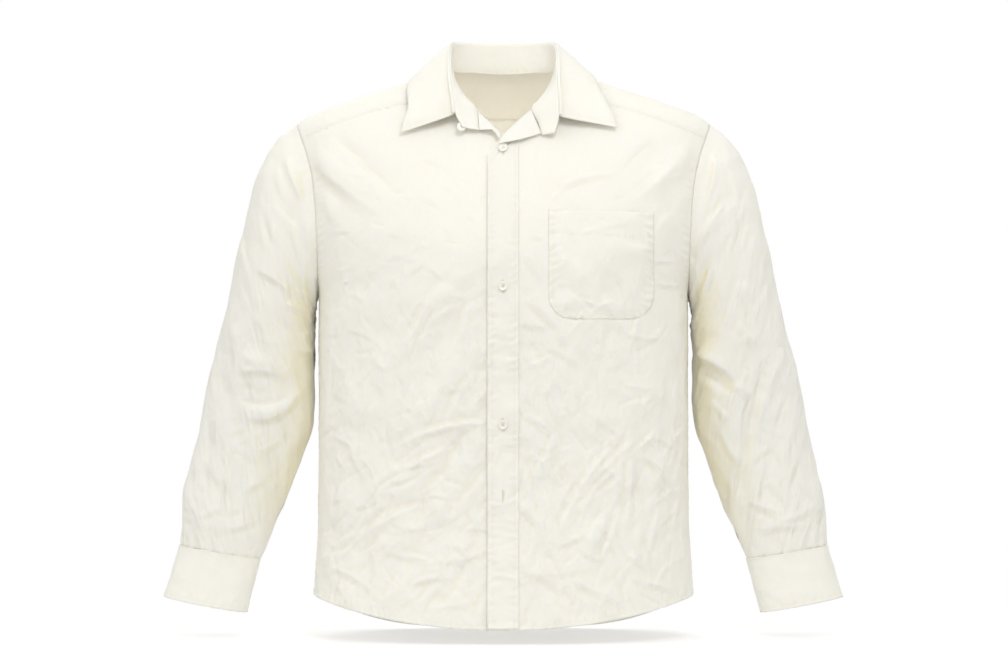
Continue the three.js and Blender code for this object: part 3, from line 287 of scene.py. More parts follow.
# %% The placed creases
CREASES = np.array([  # x0 z0 x1 z1 half height bend, on the side that faces -Y
    [-232, -73, -140, -150, 9, 3, 4], [-202, -50, -117, -130, 9, -2.2, -3],
    [-211, -128, -194, -161, 5, 1.2, 2], [-95, -77, -63, -89, 3.2, 1, 2],
    [-176, -73, -135, -99, 6, 1.2, 2], [-227, -108, -211, -172, 7, 2, -3],
    [-199, -164, -176, -165, 3.5, 1, 1], [-194, -172, -176, -249, 7, 1.2, 6],
    [-69, -225, -122, -343, 7, 2.2, 8], [-49, -249, -92, -281, 4, 1.2, 3],
    [-70, -243, -117, -338, 5, -1.4, 6], [-35, -249, -55, -308, 6, 1.4, 4],
    [-32, -328, -70, -407, 6, 2.2, 5], [-41, -278, -70, -321, 4, 1.2, 3],
    [-181, -281, -139, -303, 3.2, 1.1, -3], [-151, -225, -166, -272, 3.5, 1.2, 4],
    [-166, -261, -145, -289, 3, -1, 2], [-181, -240, -159, -249, 3, 0.9, -2],
    [-194, -272, -190, -308, 3, 0.9, 2], [-176, -308, -149, -308, 3, -0.8, 2],
    [-155, -308, -132, -334, 3.5, 1, 2], [-105, -308, -120, -355, 4, 1.2, 3],
    [-22, -389, -140, -428, 5.5, 2.6, 10], [-58, -416, -159, -491, 6, 3.2, 9],
    [-95, -485, -202, -559, 6.5, 3.6, 9], [-93, -440, -167, -479, 4.5, -2, 6],
    [-181, -418, -156, -461, 4, 1.6, 4], [-206, -405, -172, -426, 4, 1.4, -3],
    [-90, -475, -55, -486, 4.5, 2.6, -5], [-55, -459, -80, -520, 4, 1.8, 5],
    [-22, -447, -59, -490, 4.5, 2, -4], [-140, -538, -55, -547, 4.5, 2, 6],
    [-59, -528, -25, -573, 4, 1.8, -4], [-108, -579, -55, -572, 4, 2.6, -5],
    [-205, -561, -137, -601, 5, 2, -6], [-173, -517, -207, -550, 4, 1.4, 3],
    [-123, -587, -155, -604, 3.5, 1.4, 3], [-88, -604, -32, -594, 4, 1.6, 4],
    [-192, -459, -206, -493, 4, 1.4, -3], [-149, -366, -166, -416, 4.5, 1.4, 4],
    [-76, -449, -41, -465, 3.5, -1.6, 3], [-129, -460, -96, -443, 3.5, 1.6, 3],
    [-176, -496, -135, -475, 4, -1.6, 3], [-41, -490, -26, -528, 3.5, 1.4, -3],
    [-176, -545, -140, -519, 3.5, -1.4, 3], [-129, -507, -88, -513, 3.5, 1.2, 3],
    [-82, -548, -92, -581, 3.2, 1.2, 2], [-55, -578, -26, -604, 3.2, 1.2, -2],
    [-199, -581, -176, -610, 3.2, 1.2, -2], [-140, -557, -117, -584, 3.2, -1.2, 2],
    [-90, -402, -55, -387, 3.5, 1.2, 3], [-117, -396, -140, -413, 3.2, 1, 2],
    [-203, -355, -176, -366, 3.5, 0.9, 2], [-199, -428, -181, -449, 3.2, 1.1, 2],
    [-70, -355, -43, -349, 3.2, 1, -2], [-152, -493, -176, -525, 3.5, 1.5, 3],
    [65, -115, 142, -99, 4.5, 1.4, -6], [203, -82, 145, -134, 9, 2.6, -3],
    [177, -55, 133, -99, 8, -1.8, 2], [194, -143, 177, -178, 6, 1.4, 3],
    [27, -243, 90, -332, 6, 2.2, -7], [52, -302, 99, -334, 4.5, 1.6, -4],
    [76, -348, 84, -387, 4, 1.4, 3], [23, -379, 72, -424, 4.5, 1.8, -5],
    [57, -413, 35, -475, 4.5, 1.6, 4], [125, -418, 61, -531, 6, 3, 7],
    [147, -424, 137, -534, 6, 2.6, -5], [162, -428, 199, -475, 5, 2.4, -6],
    [19, -484, 56, -538, 4.5, 1.8, -4], [51, -501, 62, -534, 3.8, 1.6, 2],
    [59, -534, 99, -513, 4, 1.8, 3], [29, -425, 66, -461, 4, 1.4, -3],
    [140, -344, 186, -349, 3.5, 1.2, 3], [135, -370, 178, -359, 3.5, -1.1, -3],
    [19, -561, 73, -590, 4.5, 1.8, -4], [82, -572, 137, -591, 4.5, 1.8, 5],
    [163, -578, 207, -595, 4.5, 1.8, -4], [109, -459, 89, -511, 4, 1.6, 3],
    [44, -548, 30, -604, 4, 1.6, 3], [184, -488, 169, -575, 5, 1.8, 5],
    [207, -459, 190, -545, 5, 1.6, -4], [21, -272, 62, -278, 3.5, 1, 3],
    [24, -308, 46, -343, 4, 1.2, -3], [106, -378, 142, -407, 3.8, 1.2, 3],
    [83, -402, 106, -428, 3.5, -1.2, 2], [36, -507, 30, -543, 3.5, 1.2, -2],
    [89, -537, 124, -551, 3.8, 1.4, 3], [124, -513, 112, -554, 3.5, -1.4, 3],
    [142, -545, 171, -566, 3.8, 1.4, -3], [194, -554, 177, -587, 3.5, 1.2, 2],
    [27, -190, 49, -225, 4, 1.2, 4], [30, -172, 51, -178, 3, 0.9, -2],
    [177, -225, 213, -228, 3.5, 1, 2], [174, -202, 212, -203, 3.2, 0.9, -2],
    [142, -284, 194, -291, 3.5, 1, 4], [106, -302, 130, -331, 3.2, 0.9, 2],
    [48, -355, 65, -396, 3.6, -1.2, 2], [95, -449, 77, -478, 3.4, -1.2, 2],
    [156, -460, 154, -519, 4.2, -1.6, 3], [65, -598, 100, -610, 3.2, 1.2, 2],
    [112, -592, 153, -610, 3.2, 1.2, -2], [24, -454, 45, -487, 3.2, 1.1, 2],
    [131, -443, 95, -484, 3.6, 1.6, 3], [177, -407, 207, -428, 3.5, 1.2, -2],
    [-258, -76, -224, -143, 6, 3, 5], [-240, -90, -227, -149, 5, -2, 3],
    [-279, -131, -260, -190, 6, 1.8, 4], [-292, -209, -245, -250, 5, 2.2, -5],
    [-251, -150, -232, -225, 6, 2, 4], [-312, -332, -254, -344, 6, 3.4, -9],
    [-315, -362, -250, -356, 6, -3, 10], [-306, -382, -254, -367, 6, 3, 11],
    [-328, -328, -295, -475, 9, 2.2, -8], [-293, -243, -270, -321, 6, 1.8, 5],
    [-258, -249, -232, -272, 5, 1.6, -3], [-240, -284, -224, -319, 5, 1.8, 3],
    [-311, -308, -281, -325, 4, 1.6, 3], [-258, -378, -234, -352, 5, 2.2, -4],
    [-293, -425, -258, -402, 5, 1.4, 4], [-353, -443, -321, -475, 5, 1.4, 3],
    [-364, -507, -322, -491, 5, 1.8, -4], [-334, -518, -286, -501, 5, 1.8, 4],
    [-361, -475, -340, -507, 4.5, 1.4, 3], [-311, -478, -281, -460, 4.5, 1.4, -3],
    [-267, -90, -258, -131, 5, 1.6, 3], [-275, -178, -293, -225, 5, 1.4, -3],
    [-320, -272, -311, -308, 5, 1.3, 3], [-249, -302, -226, -308, 4, 1.4, 2],
    [250, -73, 231, -146, 6, 3, -5], [236, -90, 226, -149, 5, -2, 3], [264, -130, 225, -193, 6, 2.4, 4],
    [231, -309, 278, -346, 6, 4.6, -4], [236, -334, 277, -366, 6, -2.6, -4],
    [270, -348, 297, -367, 5, 2.6, -4], [331, -302, 294, -475, 9, 2.4, 8],
    [281, -225, 298, -289, 6, 1.8, -4], [247, -202, 236, -261, 6, 2, 4],
    [294, -488, 331, -508, 5, 2, -4], [328, -508, 378, -484, 5, 2, 5], [305, -521, 367, -519, 5, 2, -5],
    [277, -272, 306, -302, 4.5, 1.6, 3], [259, -402, 288, -446, 5, 1.6, 4],
    [247, -366, 271, -402, 5, 1.8, -3], [330, -413, 353, -475, 5, 1.4, 3],
    [312, -460, 338, -490, 4.5, 1.4, -3], [353, -454, 377, -484, 4.5, 1.4, 3],
    [268, -90, 277, -143, 6, 1.6, -3], [294, -172, 318, -225, 6, 1.6, 4],
])
print("placed creases", len(CREASES))

# %% [markdown]
# A crease isn't a round ridge: cloth that was folded hard keeps a crest with one steep and one gentle
# side, and a shallow trough beside it. Two falling exponentials give that profile, and each crease
# swells from its ends to its middle.

# %% The profile of a crease
CREST_SHARE, CREASE_LIFT = 0.62, 1.25
STEEP_SIDE, GENTLE_SIDE = 1.5, 0.6
TROUGH_DEEP, TROUGH_AWAY = 0.3, 2.2


def crease_height(x, z, table):
    """Thin ridges with a sharp crest and a trough along one side."""
    height = np.zeros(np.shape(x))
    for x0, z0, x1, z1, half, high, bend in table:
        run, rise = x1 - x0, z1 - z0
        length = math.hypot(run, rise)
        t = ((x - x0) * run + (z - z0) * rise) / length**2
        off = ((x - x0) * rise - (z - z0) * run) / length
        near = (t > 0) & (t < 1) & (np.abs(off) < 5 * half + abs(bend))
        if not near.any():
            continue
        t, off = t[near], (off[near] - bend * 4 * t[near] * (1 - t[near])) / (CREST_SHARE * half)
        fade = np.sin(math.pi * t**0.6)
        steep = np.where(off > 0, STEEP_SIDE, GENTLE_SIDE)
        crest = 1.2 * np.exp(-steep * np.sqrt(off**2 + 0.02))
        crest = crest - TROUGH_DEEP * np.exp(-np.abs(off - TROUGH_AWAY))
        height[near] += CREASE_LIFT * high * fade * crest
    return height


print("creases at the waist", crease_height(np.array([-90.0]), np.array([-450.0]), CREASES).round(2))

# %% [markdown]
# Ridges, puckers and gathers are all made uneven by hills: a table of random numbers with a fixed
# seed, blended smoothly from each number to the next. Blender's noise texture is of that kind, but
# heights are needed here in code, before there is any mesh.

# %% Smooth random hills
def noise(u, v, cell, seed):
    """Smooth random hills from 0 to 1, about a cell wide."""
    table = np.random.default_rng(seed).random((64, 64))
    u, v = np.asarray(u) / cell, np.asarray(v) / cell
    i, j = np.floor(u).astype(int), np.floor(v).astype(int)
    s, t = u - i, v - j
    s, t = s**3 * (s * (6 * s - 15) + 10), t**3 * (t * (6 * t - 15) + 10)
    low = lerp(table[i % 64, j % 64], table[(i + 1) % 64, j % 64], s)
    high = lerp(table[i % 64, (j + 1) % 64], table[(i + 1) % 64, (j + 1) % 64], s)
    return lerp(low, high, t)


probe = np.meshgrid(np.linspace(0, 300, 60), np.linspace(0, 300, 60))
print("hills from", noise(*probe, 40, 3).min().round(2), "to", noise(*probe, 40, 3).max().round(2))

# %% [markdown]
# Cloth that was pressed together shows faint ridges that cross each other. Each set of ridges is a
# wave with a sharp crest, bent by the hills and strong only in patches, so no two places look alike.

# %% Crossing ridges
def creases(u, v, wave, seed, ways=5, bend=0.9):
    """Crossing sets of bent, sharp-crested ridges, each strong only in patches."""
    height = np.zeros(np.shape(u))
    for k in range(ways):
        way = math.pi * (k + 0.5 * (seed % 3)) / ways + 0.35 * math.sin(seed + k)
        warp = bend * (noise(u, v, 2.1 * wave, seed + 10 * k) - 0.5)
        warp = warp + 0.35 * (noise(u, v, 0.9 * wave, seed + 10 * k + 1) - 0.5)
        place = (u * math.cos(way) + v * math.sin(way)) / wave + warp
        crest = 1 - np.sqrt(np.sin(math.pi * place) ** 2 + 0.015)
        patch_share = ease(0.42, 0.78, noise(u, v, 1.7 * wave, seed + 10 * k + 2))
        height += crest * patch_share
    return height - 0.075 * ways


print("ridges reach", creases(*probe, 40, 3).max().round(2))

# %% [markdown]
# Between its creases, crumpled cotton is nearly flat. Points are scattered with a fixed seed, and the
# height grows with the distance to the nearest one, so the cloth falls into slanted facets that
# meet in crisp lines. A Voronoi texture does the same for a bump.

# %% Facets
def facets(u, v, size, seed, way, stretch=1.9):
    """Crumpled cloth: nearly flat facets, longer one way, that meet in crisp ridges."""
    turn, drift = math.radians(way), 0.5 * size
    u, v = u + drift * noise(u, v, 1.6 * size, seed), v + drift * noise(u, v, 1.6 * size, seed + 1)
    along = (u * math.cos(turn) + v * math.sin(turn)) / (size * stretch)
    beside = (v * math.cos(turn) - u * math.sin(turn)) / size
    spots = np.random.default_rng(seed).random((64, 64, 2))
    i, j = np.floor(along).astype(int), np.floor(beside).astype(int)
    nearest = np.full(np.shape(along), 9.0)
    for a in (-1, 0, 1):
        for b in (-1, 0, 1):
            spot = spots[(i + a) % 64, (j + b) % 64]
            gap = np.hypot(i + a + spot[..., 0] - along, j + b + spot[..., 1] - beside)
            nearest = np.minimum(nearest, gap)
    return size * (np.sqrt(nearest**2 + 0.01) - 0.45)


print("facets reach", facets(*probe, 30, 3, 52).max().round(2))

# %% [markdown]
# The smallest creases that still show from a step away are short and point about one way in each
# region. Most run steeply down, and a few lots lie nearly level. A row of each table scatters one lot
# in a box, with lengths that are mostly short and now and then long.

# %% Short creases
def shards(seed, count, low, high, way, spread, longest):
    """Random short creases in a box of x and z, pointing about one way in degrees."""
    rng = np.random.default_rng(seed)
    x, z = rng.uniform(low[0], high[0], count), rng.uniform(low[1], high[1], count)
    turn = np.radians(way + rng.normal(0, spread, count))
    length = 14 + (1.5 * longest - 14) * rng.random(count) ** 2
    half = 1.7 + 0.03 * length + rng.uniform(0, 0.8, count)
    tall = (0.25 + 0.012 * length) * rng.uniform(0.6, 1.3, count)
    tall = tall * np.where(rng.random(count) < 0.35, -1, 1)
    bend = rng.normal(0, 0.07, count) * length
    ends = x + length * np.cos(turn), z + length * np.sin(turn)
    return np.stack([x, z, *ends, half, tall, bend], axis=-1)


SHARD_BOXES = {  # seed, count, lowest x and z, highest x and z, way, spread of the way, longest
    "front": [
        (1, 130, (-225, -600), (0, -390), -130, 26, 62), (2, 75, (-225, -400), (-10, -200), -115, 34, 44),
        (3, 26, (-215, -200), (-20, -90), -25, 26, 34), (4, 110, (10, -600), (225, -390), -112, 24, 62),
        (5, 30, (10, -590), (225, -420), -50, 20, 50), (6, 45, (20, -400), (225, -200), -70, 34, 44),
        (7, 22, (20, -190), (215, -80), -155, 24, 34), (8, 40, (-225, -600), (225, -480), 10, 18, 40),
    ],
    "back": [
        (21, 150, (-225, -620), (225, -400), -105, 30, 60),
        (22, 90, (-225, -420), (225, -180), -80, 36, 46),
        (23, 40, (-215, -190), (215, -90), 0, 28, 36),
    ],
    "arm": [
        (31, 26, (225, -330), (320, -80), -100, 26, 50), (32, 34, (240, -420), (350, -290), -15, 24, 46),
        (33, 30, (260, -520), (375, -400), -110, 28, 44), (34, 26, (285, -545), (380, -490), 0, 26, 30),
    ],
}
PLEAT_MIDDLE = [[-1.5, -88, -0.5, -230, 2.5, -3.2, 0]]  # where the box pleat's inner folds meet
FRONT_SHARDS, BACK_SHARDS, ARM_SHARDS = (
    np.concatenate([shards(*box) for box in boxes]) for boxes in SHARD_BOXES.values()
)
BACK_SHARDS = np.concatenate([BACK_SHARDS, PLEAT_MIDDLE])
print("small creases", len(FRONT_SHARDS), len(BACK_SHARDS), len(ARM_SHARDS))

# %% [markdown]
# The layers of a seam hold the cloth flat, so folds fade out beside it. On the body the upper chest
# is nearly smooth, and the crumple grows strong towards the hem.

# %% Folds on the body
HEM_GUARD = HEM_FRONT[0]
FACET_SIZES = ((58, 0.09), (30, 0.09), (15, 0.06))  # across, and height for each millimetre across
FACET_WAYS = (52, 112)  # degrees, on the viewer's left and right
CALM_CHEST = 0.38


def fold_share(x, z):
    from_side = 1 - np.abs(x) / half_at(z)
    from_armhole = np.where(z > ARMPIT, armhole_x(z) - np.abs(x), 40.0)
    share = ease(0, 0.06, from_side) * ease(2, 24, from_armhole)
    return share * ease(0, 40, z - HEM_GUARD) * (1 - ease(-90, -30, z))


def body_relief(x, z, side):
    """All the folds and creases of the body at one place, seen from one side."""
    share = fold_share(x, z)
    low = 1 - ease(-330, -120, z)
    strength = lerp(CALM_CHEST, 1.0, low) * (1 - 0.6 * ease(-95, -35, z))
    seed = 11 if side < 0 else 47
    small = 0.5 * creases(x, z, 52, seed)
    across = ease(-60, 60, side * -x)
    for size, high in FACET_SIZES:
        one, other = (facets(x, z, size, seed + k, way) for k, way in enumerate(FACET_WAYS, 1))
        small += high * lerp(one, other, across)
    if side < 0:
        sharp = crease_height(x, z, CREASES) + crease_height(x, z, FRONT_SHARDS)
    else:
        sharp = 0.8 * crease_height(-x, z + 9, CREASES) + crease_height(x, z, BACK_SHARDS)
    return fold_height(x, z, side) * share + (small * strength + sharp) * (0.25 + 0.75 * share)


print("relief at the waist", body_relief(np.array([-90.0]), np.array([-450.0]), -1).round(2))

# %% [markdown]
# ## From a grid to a piece of cloth
# A cut piece of cloth is a flat sheet with a weave that runs straight along it. So each piece gets a
# map with its own width and length in metres, and the weave reads that map. A Solidify modifier
# gives the sheet its thickness, inwards from the surface that shows.

# %% Lengths along a grid
def run_lengths(points, axis):
    """How far each point lies along its row (axis 1) or column (axis 0)."""
    steps = np.linalg.norm(np.diff(points, axis=axis), axis=-1)
    start = np.zeros_like(np.take(points[..., 0], [0], axis=axis))
    return np.concatenate([start, np.cumsum(steps, axis=axis)], axis=axis)


def flat_map(points):
    """A flat pattern of the piece: lengths across, from the middle out, and lengths up."""
    across, up = run_lengths(points, 1), run_lengths(points, 0)
    across = across - across.mean(axis=1, keepdims=True)
    return np.stack([across, up], axis=-1)


print("a grid's map is read in millimetres along its threads")

# %% [markdown]
# Three things vary over the cloth. The hollows between folds get painted shade, a warmer cream for
# the light that bounces there, the lower body is more crumpled than the chest, and the sleeves' inner
# faces, which look at the body, get the warmest painted shade of all. Each is a value kept at every
# point of the mesh, an attribute, which the finish reads later. They are worked out from the shape,
# so they fit it exactly.

# %% Values kept at the points
def hollow_of(points, normals):
    """How deep each point lies between its neighbours' heights: 0.5 is flat, 0 is a deep crease."""
    height = np.zeros(points.shape[:2])
    for reach in (1, 3):
        margin = ((reach, reach), (reach, reach), (0, 0))
        padded = np.pad(points, margin, mode="reflect", reflect_type="odd")
        around = (
            padded[2 * reach:, reach:-reach] + padded[:-2 * reach, reach:-reach]
            + padded[reach:-reach, 2 * reach:] + padded[reach:-reach, :-2 * reach]
        ) / 4
        height += ((points - around) * normals).sum(axis=-1) / reach
    return np.clip(0.5 + 0.9 * height, 0, 1)


# The sleeve's faces that look at the body get painted shade, a warm darker cream. This finds them.
def facing_body(points, normals):
    """1 on the part of a sleeve that faces the body, fading out towards the cuff."""
    inward = -normals[..., 0] * np.sign(points[..., 0])
    on_sleeve = ease(222, 236, np.abs(points[..., 0]))
    return ease(0, 0.85, inward) * on_sleeve * ease(-560, -440, points[..., 2])


# Two of these values are masks for painted shade, in the hollows of the folds and where a sleeve faces
# the body. Crumple only sets how strong the bump is.
def point_values(points):
    normals = grid_normals(points)
    return {
        "hollow": hollow_of(points, normals),
        "crumple": 0.3 + 0.7 * (1 - ease(-380, -100, points[..., 2])),
        "body_facing_shade": facing_body(points, normals),
    }


print("values kept", *point_values(stack(*probe, 0)))

# %% [markdown]
# The mesh of a piece is its grid, point for point, so every fold, seam and stitch line can be found
# on it again later. One helper makes them all, and writes down how large each one came out.

# %% A sheet of cloth
CLOTH_THICK, DOUBLE_THICK = 0.8, 1.5
pieces = {}


def cloth(name, points, thick=CLOTH_THICK):
    """A sheet of cloth from a grid of points whose right-across-up side shows."""
    row_count, column_count = points.shape[:2]
    ids = np.arange(row_count * column_count).reshape(row_count, column_count)
    quads = np.stack([ids[:-1, :-1], ids[:-1, 1:], ids[1:, 1:], ids[1:, :-1]], axis=-1).reshape(-1, 4)
    mesh = bpy.data.meshes.new(name)
    mesh.from_pydata((points.reshape(-1, 3) * MM).tolist(), [], quads.tolist())
    flat = flat_map(points).reshape(-1, 2)[quads.reshape(-1)] * MM
    mesh.uv_layers.new(name="cloth").data.foreach_set("uv", flat.astype(np.float32).ravel())
    for label, values in point_values(points).items():
        kept = mesh.attributes.new(label, "FLOAT", "POINT")
        kept.data.foreach_set("value", values.astype(np.float32).ravel())
    mesh.validate()
    mesh.shade_smooth()
    mesh.update()
    piece = bpy.data.objects.new(name, mesh)
    bpy.context.scene.collection.objects.link(piece)
    wall = piece.modifiers.new("thickness", "SOLIDIFY")
    wall.thickness = thick * MM
    wall.offset = -1
    pieces[name] = piece
    print(name, "faces", len(quads), "size mm", np.ptp(points.reshape(-1, 3), axis=0).round(1).tolist())
    return piece


print("cloth is", CLOTH_THICK, "mm thick, doubled cloth", DOUBLE_THICK)

# %% [markdown]
# ## What a seam does to cloth
# A flat-felled seam is a band of folded cloth, a little thicker than the rest, with a row of stitches
# along each side. The thread is tighter than the cloth, so the cloth puckers beside it. The band and
# the puckers are heights too, found from how far a point lies from the edge of its piece.

# %% Seams and puckers
def edge_runs(points):
    """Distance from each of a grid's edges and length along them, in millimetres."""
    up, across = run_lengths(points, 0), run_lengths(points, 1)
    return {
        "low": (up, across),
        "high": (up[-1:] - up, across),
        "near": (across, up),
        "far": (across[:, -1:] - across, up),
    }


PUCKER_APART, PUCKER_REACH, SEAM_GROOVE = 9.5, 9.0, 0.15


def seam_relief(points, seams):
    """Heights beside the edges. Seams holds (edge, band width, band height, pucker) for each."""
    runs = edge_runs(points)
    height = np.zeros(points.shape[:2])
    for number, (edge, band, high, pucker) in enumerate(seams):
        away, along = runs[edge]
        if band > 0:
            height += high * (1 - ease(band - 1.2, band + 1.2, away))
            height -= SEAM_GROOVE * np.exp(-((away - band + 0.8) / 1.6) ** 2)
        wave = along / PUCKER_APART + 1.6 * noise(along, 0 * along, 30, 70 + number)
        wave = wave + 0.7 * noise(along, away, 12, 90 + number)
        uneven = 0.35 + noise(along, 0 * along, 24, 80 + number)
        fade = np.exp(-((away - band) / PUCKER_REACH) ** 2)
        height += pucker * uneven * np.sin(2 * math.pi * wave) * fade
    return height


def sewn(points, seams):
    return lifted(points, grid_normals(points), seam_relief(points, seams))


print("a seam's band is read from the distance to its edge")

# %% [markdown]
# In a real seam one piece runs in under the other. Two sheets that only met edge to edge would let
# the dark inside show through as a thin line. So such an edge gets one more row of points, which
# dips under the neighbour.

# %% Tucked edges
def turned_to(points, normals, edge):
    """A grid turned so that the named edge is its first row."""
    if edge in ("near", "far"):
        points, normals = points.transpose(1, 0, 2), normals.transpose(1, 0, 2)
    if edge in ("high", "far"):
        points, normals = points[::-1], normals[::-1]
    return points, normals


def tucked(points, edge, reach=3.0, sink=0.95, share=None):
    """Adds a row beyond one edge, sunk so that the neighbouring piece covers it, as in a real seam."""
    points, normals = turned_to(points, grid_normals(points), edge)
    share = (np.ones(points.shape[1]) if share is None else share)[:, None]
    step = unit(points[0] - points[2])
    points = np.concatenate([(points[0] + (step * reach - normals[0] * sink) * share)[None], points])
    points[1] -= normals[0] * 0.15 * sink * share
    if edge in ("high", "far"):
        points = points[::-1]
    return points.transpose(1, 0, 2) if edge in ("near", "far") else points


print("a tucked edge adds a row:", tucked(np.zeros((4, 4, 3)) + np.arange(4)[:, None, None], "low").shape)

# %% [markdown]
# A patch between four curves is filled by blending them, which is called a Coons patch. It lets a
# front be cut with its real neckline, armhole, side seam and hem, and still be one even grid.

# %% A patch between four edges
def patch(low, high, near, far):
    v = np.linspace(0, 1, len(near))[:, None, None]
    u = np.linspace(0, 1, len(low))[None, :, None]
    edges = (1 - v) * low[None] + v * high[None] + (1 - u) * near[:, None] + u * far[:, None]
    corners = (1 - u) * (1 - v) * low[0] + u * (1 - v) * low[-1] + (1 - u) * v * high[0]
    return edges - corners - u * v * high[-1]


print("a patch keeps its corners", patch(*np.zeros((4, 5, 2))).shape)

# %% [markdown]
# The neck seam is drawn in plan, and its height is then read off the body. The front and the back
# yoke seams run from it to the armhole. Where a seam meets the armhole isn't known beforehand: it is
# found by going back and forth between the two curves until nothing moves.

# %% The seams round the neck and the yoke
def neck_xy(at):
    rows = np.arange(NECK.shape[1])
    return through(rows, NECK[0], at), through(rows, NECK[1], at)


NECK_STEPS = np.linspace(0, NECK.shape[1] - 1, 221)
NECK_X, NECK_Y = neck_xy(NECK_STEPS)
NECK_Z = np.array([height_at(x, y) for x, y in zip(NECK_X, NECK_Y)])


def neck_point(at):
    x, y = neck_xy(at)
    return x, y, np.interp(at, NECK_STEPS, NECK_Z)


CORNER = [float(v) for v in neck_point(NECK_CORNER)]


def front_seam_z(x):
    straight = through(*FRONT_YOKE, np.abs(x))
    return lerp(CORNER[2], straight, np.clip((x - CORNER[0]) / 20, 0, 1))


def back_seam_z(x):
    return -22 - 48 * (np.asarray(x, float) / 240) ** 2


def seam_end(seam_z):
    z = -60.0
    for _ in range(30):
        z = lerp(z, float(seam_z(float(armhole_x(z)))), 0.6)
    return z


FRONT_TOP = seam_end(lambda x: through(*FRONT_YOKE, np.abs(x)))
BACK_TOP = seam_end(back_seam_z)


def side_edge(top, rows_each):
    """The side seam and the armhole above it, as turn and height."""
    i = np.linspace(0, 26, 26 * rows_each + 1)
    t = np.clip((i - 16) / 10, 0, 1)
    z = np.where(i <= 16, lerp(SIDE_FOOT, ARMPIT, i / 16),
                 lerp(ARMPIT, top, t * lerp(0.35, 1, t) + t * (1 - t) * 0.35))
    turn = np.where(z <= ARMPIT, 1.0, turn_of(armhole_x(z), z))
    return np.stack([turn, z], axis=-1)


def hem_z(turn, hem):
    low, rise, late = hem
    return low + rise * swing(turn) ** late


print("yoke seams meet the armhole at", round(FRONT_TOP, 1), round(BACK_TOP, 1))

# %% [markdown]
# ## The two fronts
# Each front is cut from one piece: neckline, yoke seam, armhole, side seam and a curved shirt-tail
# hem. The wearer's left front laps over the right one, so the right one sinks behind it near the
# middle.

# %% The fronts
def front_patch(lap, rows_each, columns_each):
    column = np.linspace(0, 16, 16 * columns_each + 1)
    lap_top = np.array([float(turn_of(-lap, -76.0)), -76.0])
    neck_at = np.clip((column - 1) / 6, 0, 1) * NECK_CORNER
    neck_x, _, neck_z = neck_point(neck_at)
    yoke_x = lerp(CORNER[0], float(armhole_x(FRONT_TOP)), np.clip((column - 7) / 9, 0, 1))
    x = np.where(column < 7, neck_x, yoke_x)
    z = np.where(column < 7, neck_z, front_seam_z(yoke_x))
    first = np.clip(column, 0, 1)
    turn = lerp(lap_top[0], turn_of(x, z), first)
    z = lerp(lap_top[1], z, first)
    high = np.stack([turn, z], axis=-1)
    far = side_edge(FRONT_TOP, rows_each)
    high[-1] = far[-1]
    edge_turn = float(turn_of(-lap, -400.0))
    low_turn = lerp(edge_turn, 1, column / 16)
    low = np.stack([low_turn, hem_z(low_turn, HEM_FRONT)], axis=-1)
    low[-1] = far[0]
    near_z = lerp(low[0, 1], lap_top[1], np.linspace(0, 1, len(far)))
    near = np.stack([turn_of(-lap, near_z), near_z], axis=-1)
    return patch(low, high, near, far)


def lap_sink(x):
    return LAP_SINK * (1 - ease(22, 66, x))


def front_points(lap, sign, sunk, rows_each=11, columns_each=8):
    grid = front_patch(lap, rows_each, columns_each)
    points = at_turn(grid[..., 0], grid[..., 1], -1)
    if sunk:
        points[..., 1] += lap_sink(points[..., 0])
    points[..., 0] *= sign
    if sign < 0:
        points = points[:, ::-1]
    height = body_relief(points[..., 0], points[..., 2], -1)
    return lifted(points, grid_normals(points), height)


print("a front's grid", front_points(LAP_LEFT, 1, False, 2, 2).shape[:2], "at its coarsest")

# %% [markdown]
# Under the yoke a front's top edge is tucked in, but along the neck it must stay in sight, so only
# that share of the edge dips. The left front's side seam lies on its far edge and the right one's on
# its near edge, because each grid runs from the viewer's left to right.

# %% Making both fronts
HEM_SEAM, TOP_SEAM = ("low", 5.5, 0.5, 0.5), ("high", 0, 0, 0.15)
left_front = sewn(front_points(LAP_LEFT, 1, False), [HEM_SEAM, TOP_SEAM, ("far", 7, 0.4, 0.35)])
under_yoke = ease(0.44, 0.5, np.linspace(0, 1, left_front.shape[1]))
cloth("front_left_cloth", tucked(left_front, "high", share=under_yoke))
right_seams = [HEM_SEAM, TOP_SEAM, ("near", 7, 0.4, 0.35), ("far", 30, 0.3, 0.4)]
right_front = sewn(front_points(LAP_RIGHT, -1, True), right_seams)
cloth("front_right_cloth", tucked(right_front, "high", share=under_yoke[::-1]))

# %% [markdown]
# ## The back
# The back is one panel with a box pleat below the yoke, which opens out towards the waist. It has
# long soft folds and the same kinds of small creases as the fronts. The pleat could be folded cloth
# in three layers. Only its two outer folds show, so it is a raised band that fades out downwards.

# %% The back
BACK_X = float(armhole_x(BACK_TOP))
PLEAT_HIGH, PLEAT_HALF, PLEAT_EDGE = 1.7, 18, 21


def pleat_at(x, z):
    return PLEAT_HIGH * ease(-480, -180, z) * (1 - ease(PLEAT_HALF, PLEAT_EDGE, np.abs(x)))


def back_points(rows_each=9, columns=200):
    x = np.linspace(-BACK_X, BACK_X, columns + 1)
    z = back_seam_z(x)
    high = np.stack([turn_of(x, z), z], axis=-1)
    far = side_edge(BACK_TOP, rows_each)
    near = far * [-1, 1]
    turn = np.linspace(-1, 1, columns + 1)
    low = np.stack([turn, hem_z(turn, HEM_BACK)], axis=-1)
    high[0], high[-1] = near[-1], far[-1]
    grid = patch(low, high, near, far)[:, ::-1]
    points = at_turn(grid[..., 0], grid[..., 1], 1)
    x, z = points[..., 0], points[..., 2]
    return lifted(points, grid_normals(points), body_relief(x, z, 1) + pleat_at(x, z))


back = sewn(back_points(), [HEM_SEAM, TOP_SEAM, ("near", 7, 0.4, 0.35), ("far", 7, 0.4, 0.35)])
cloth("back_cloth", tucked(tucked(tucked(back, "high"), "near"), "far"))

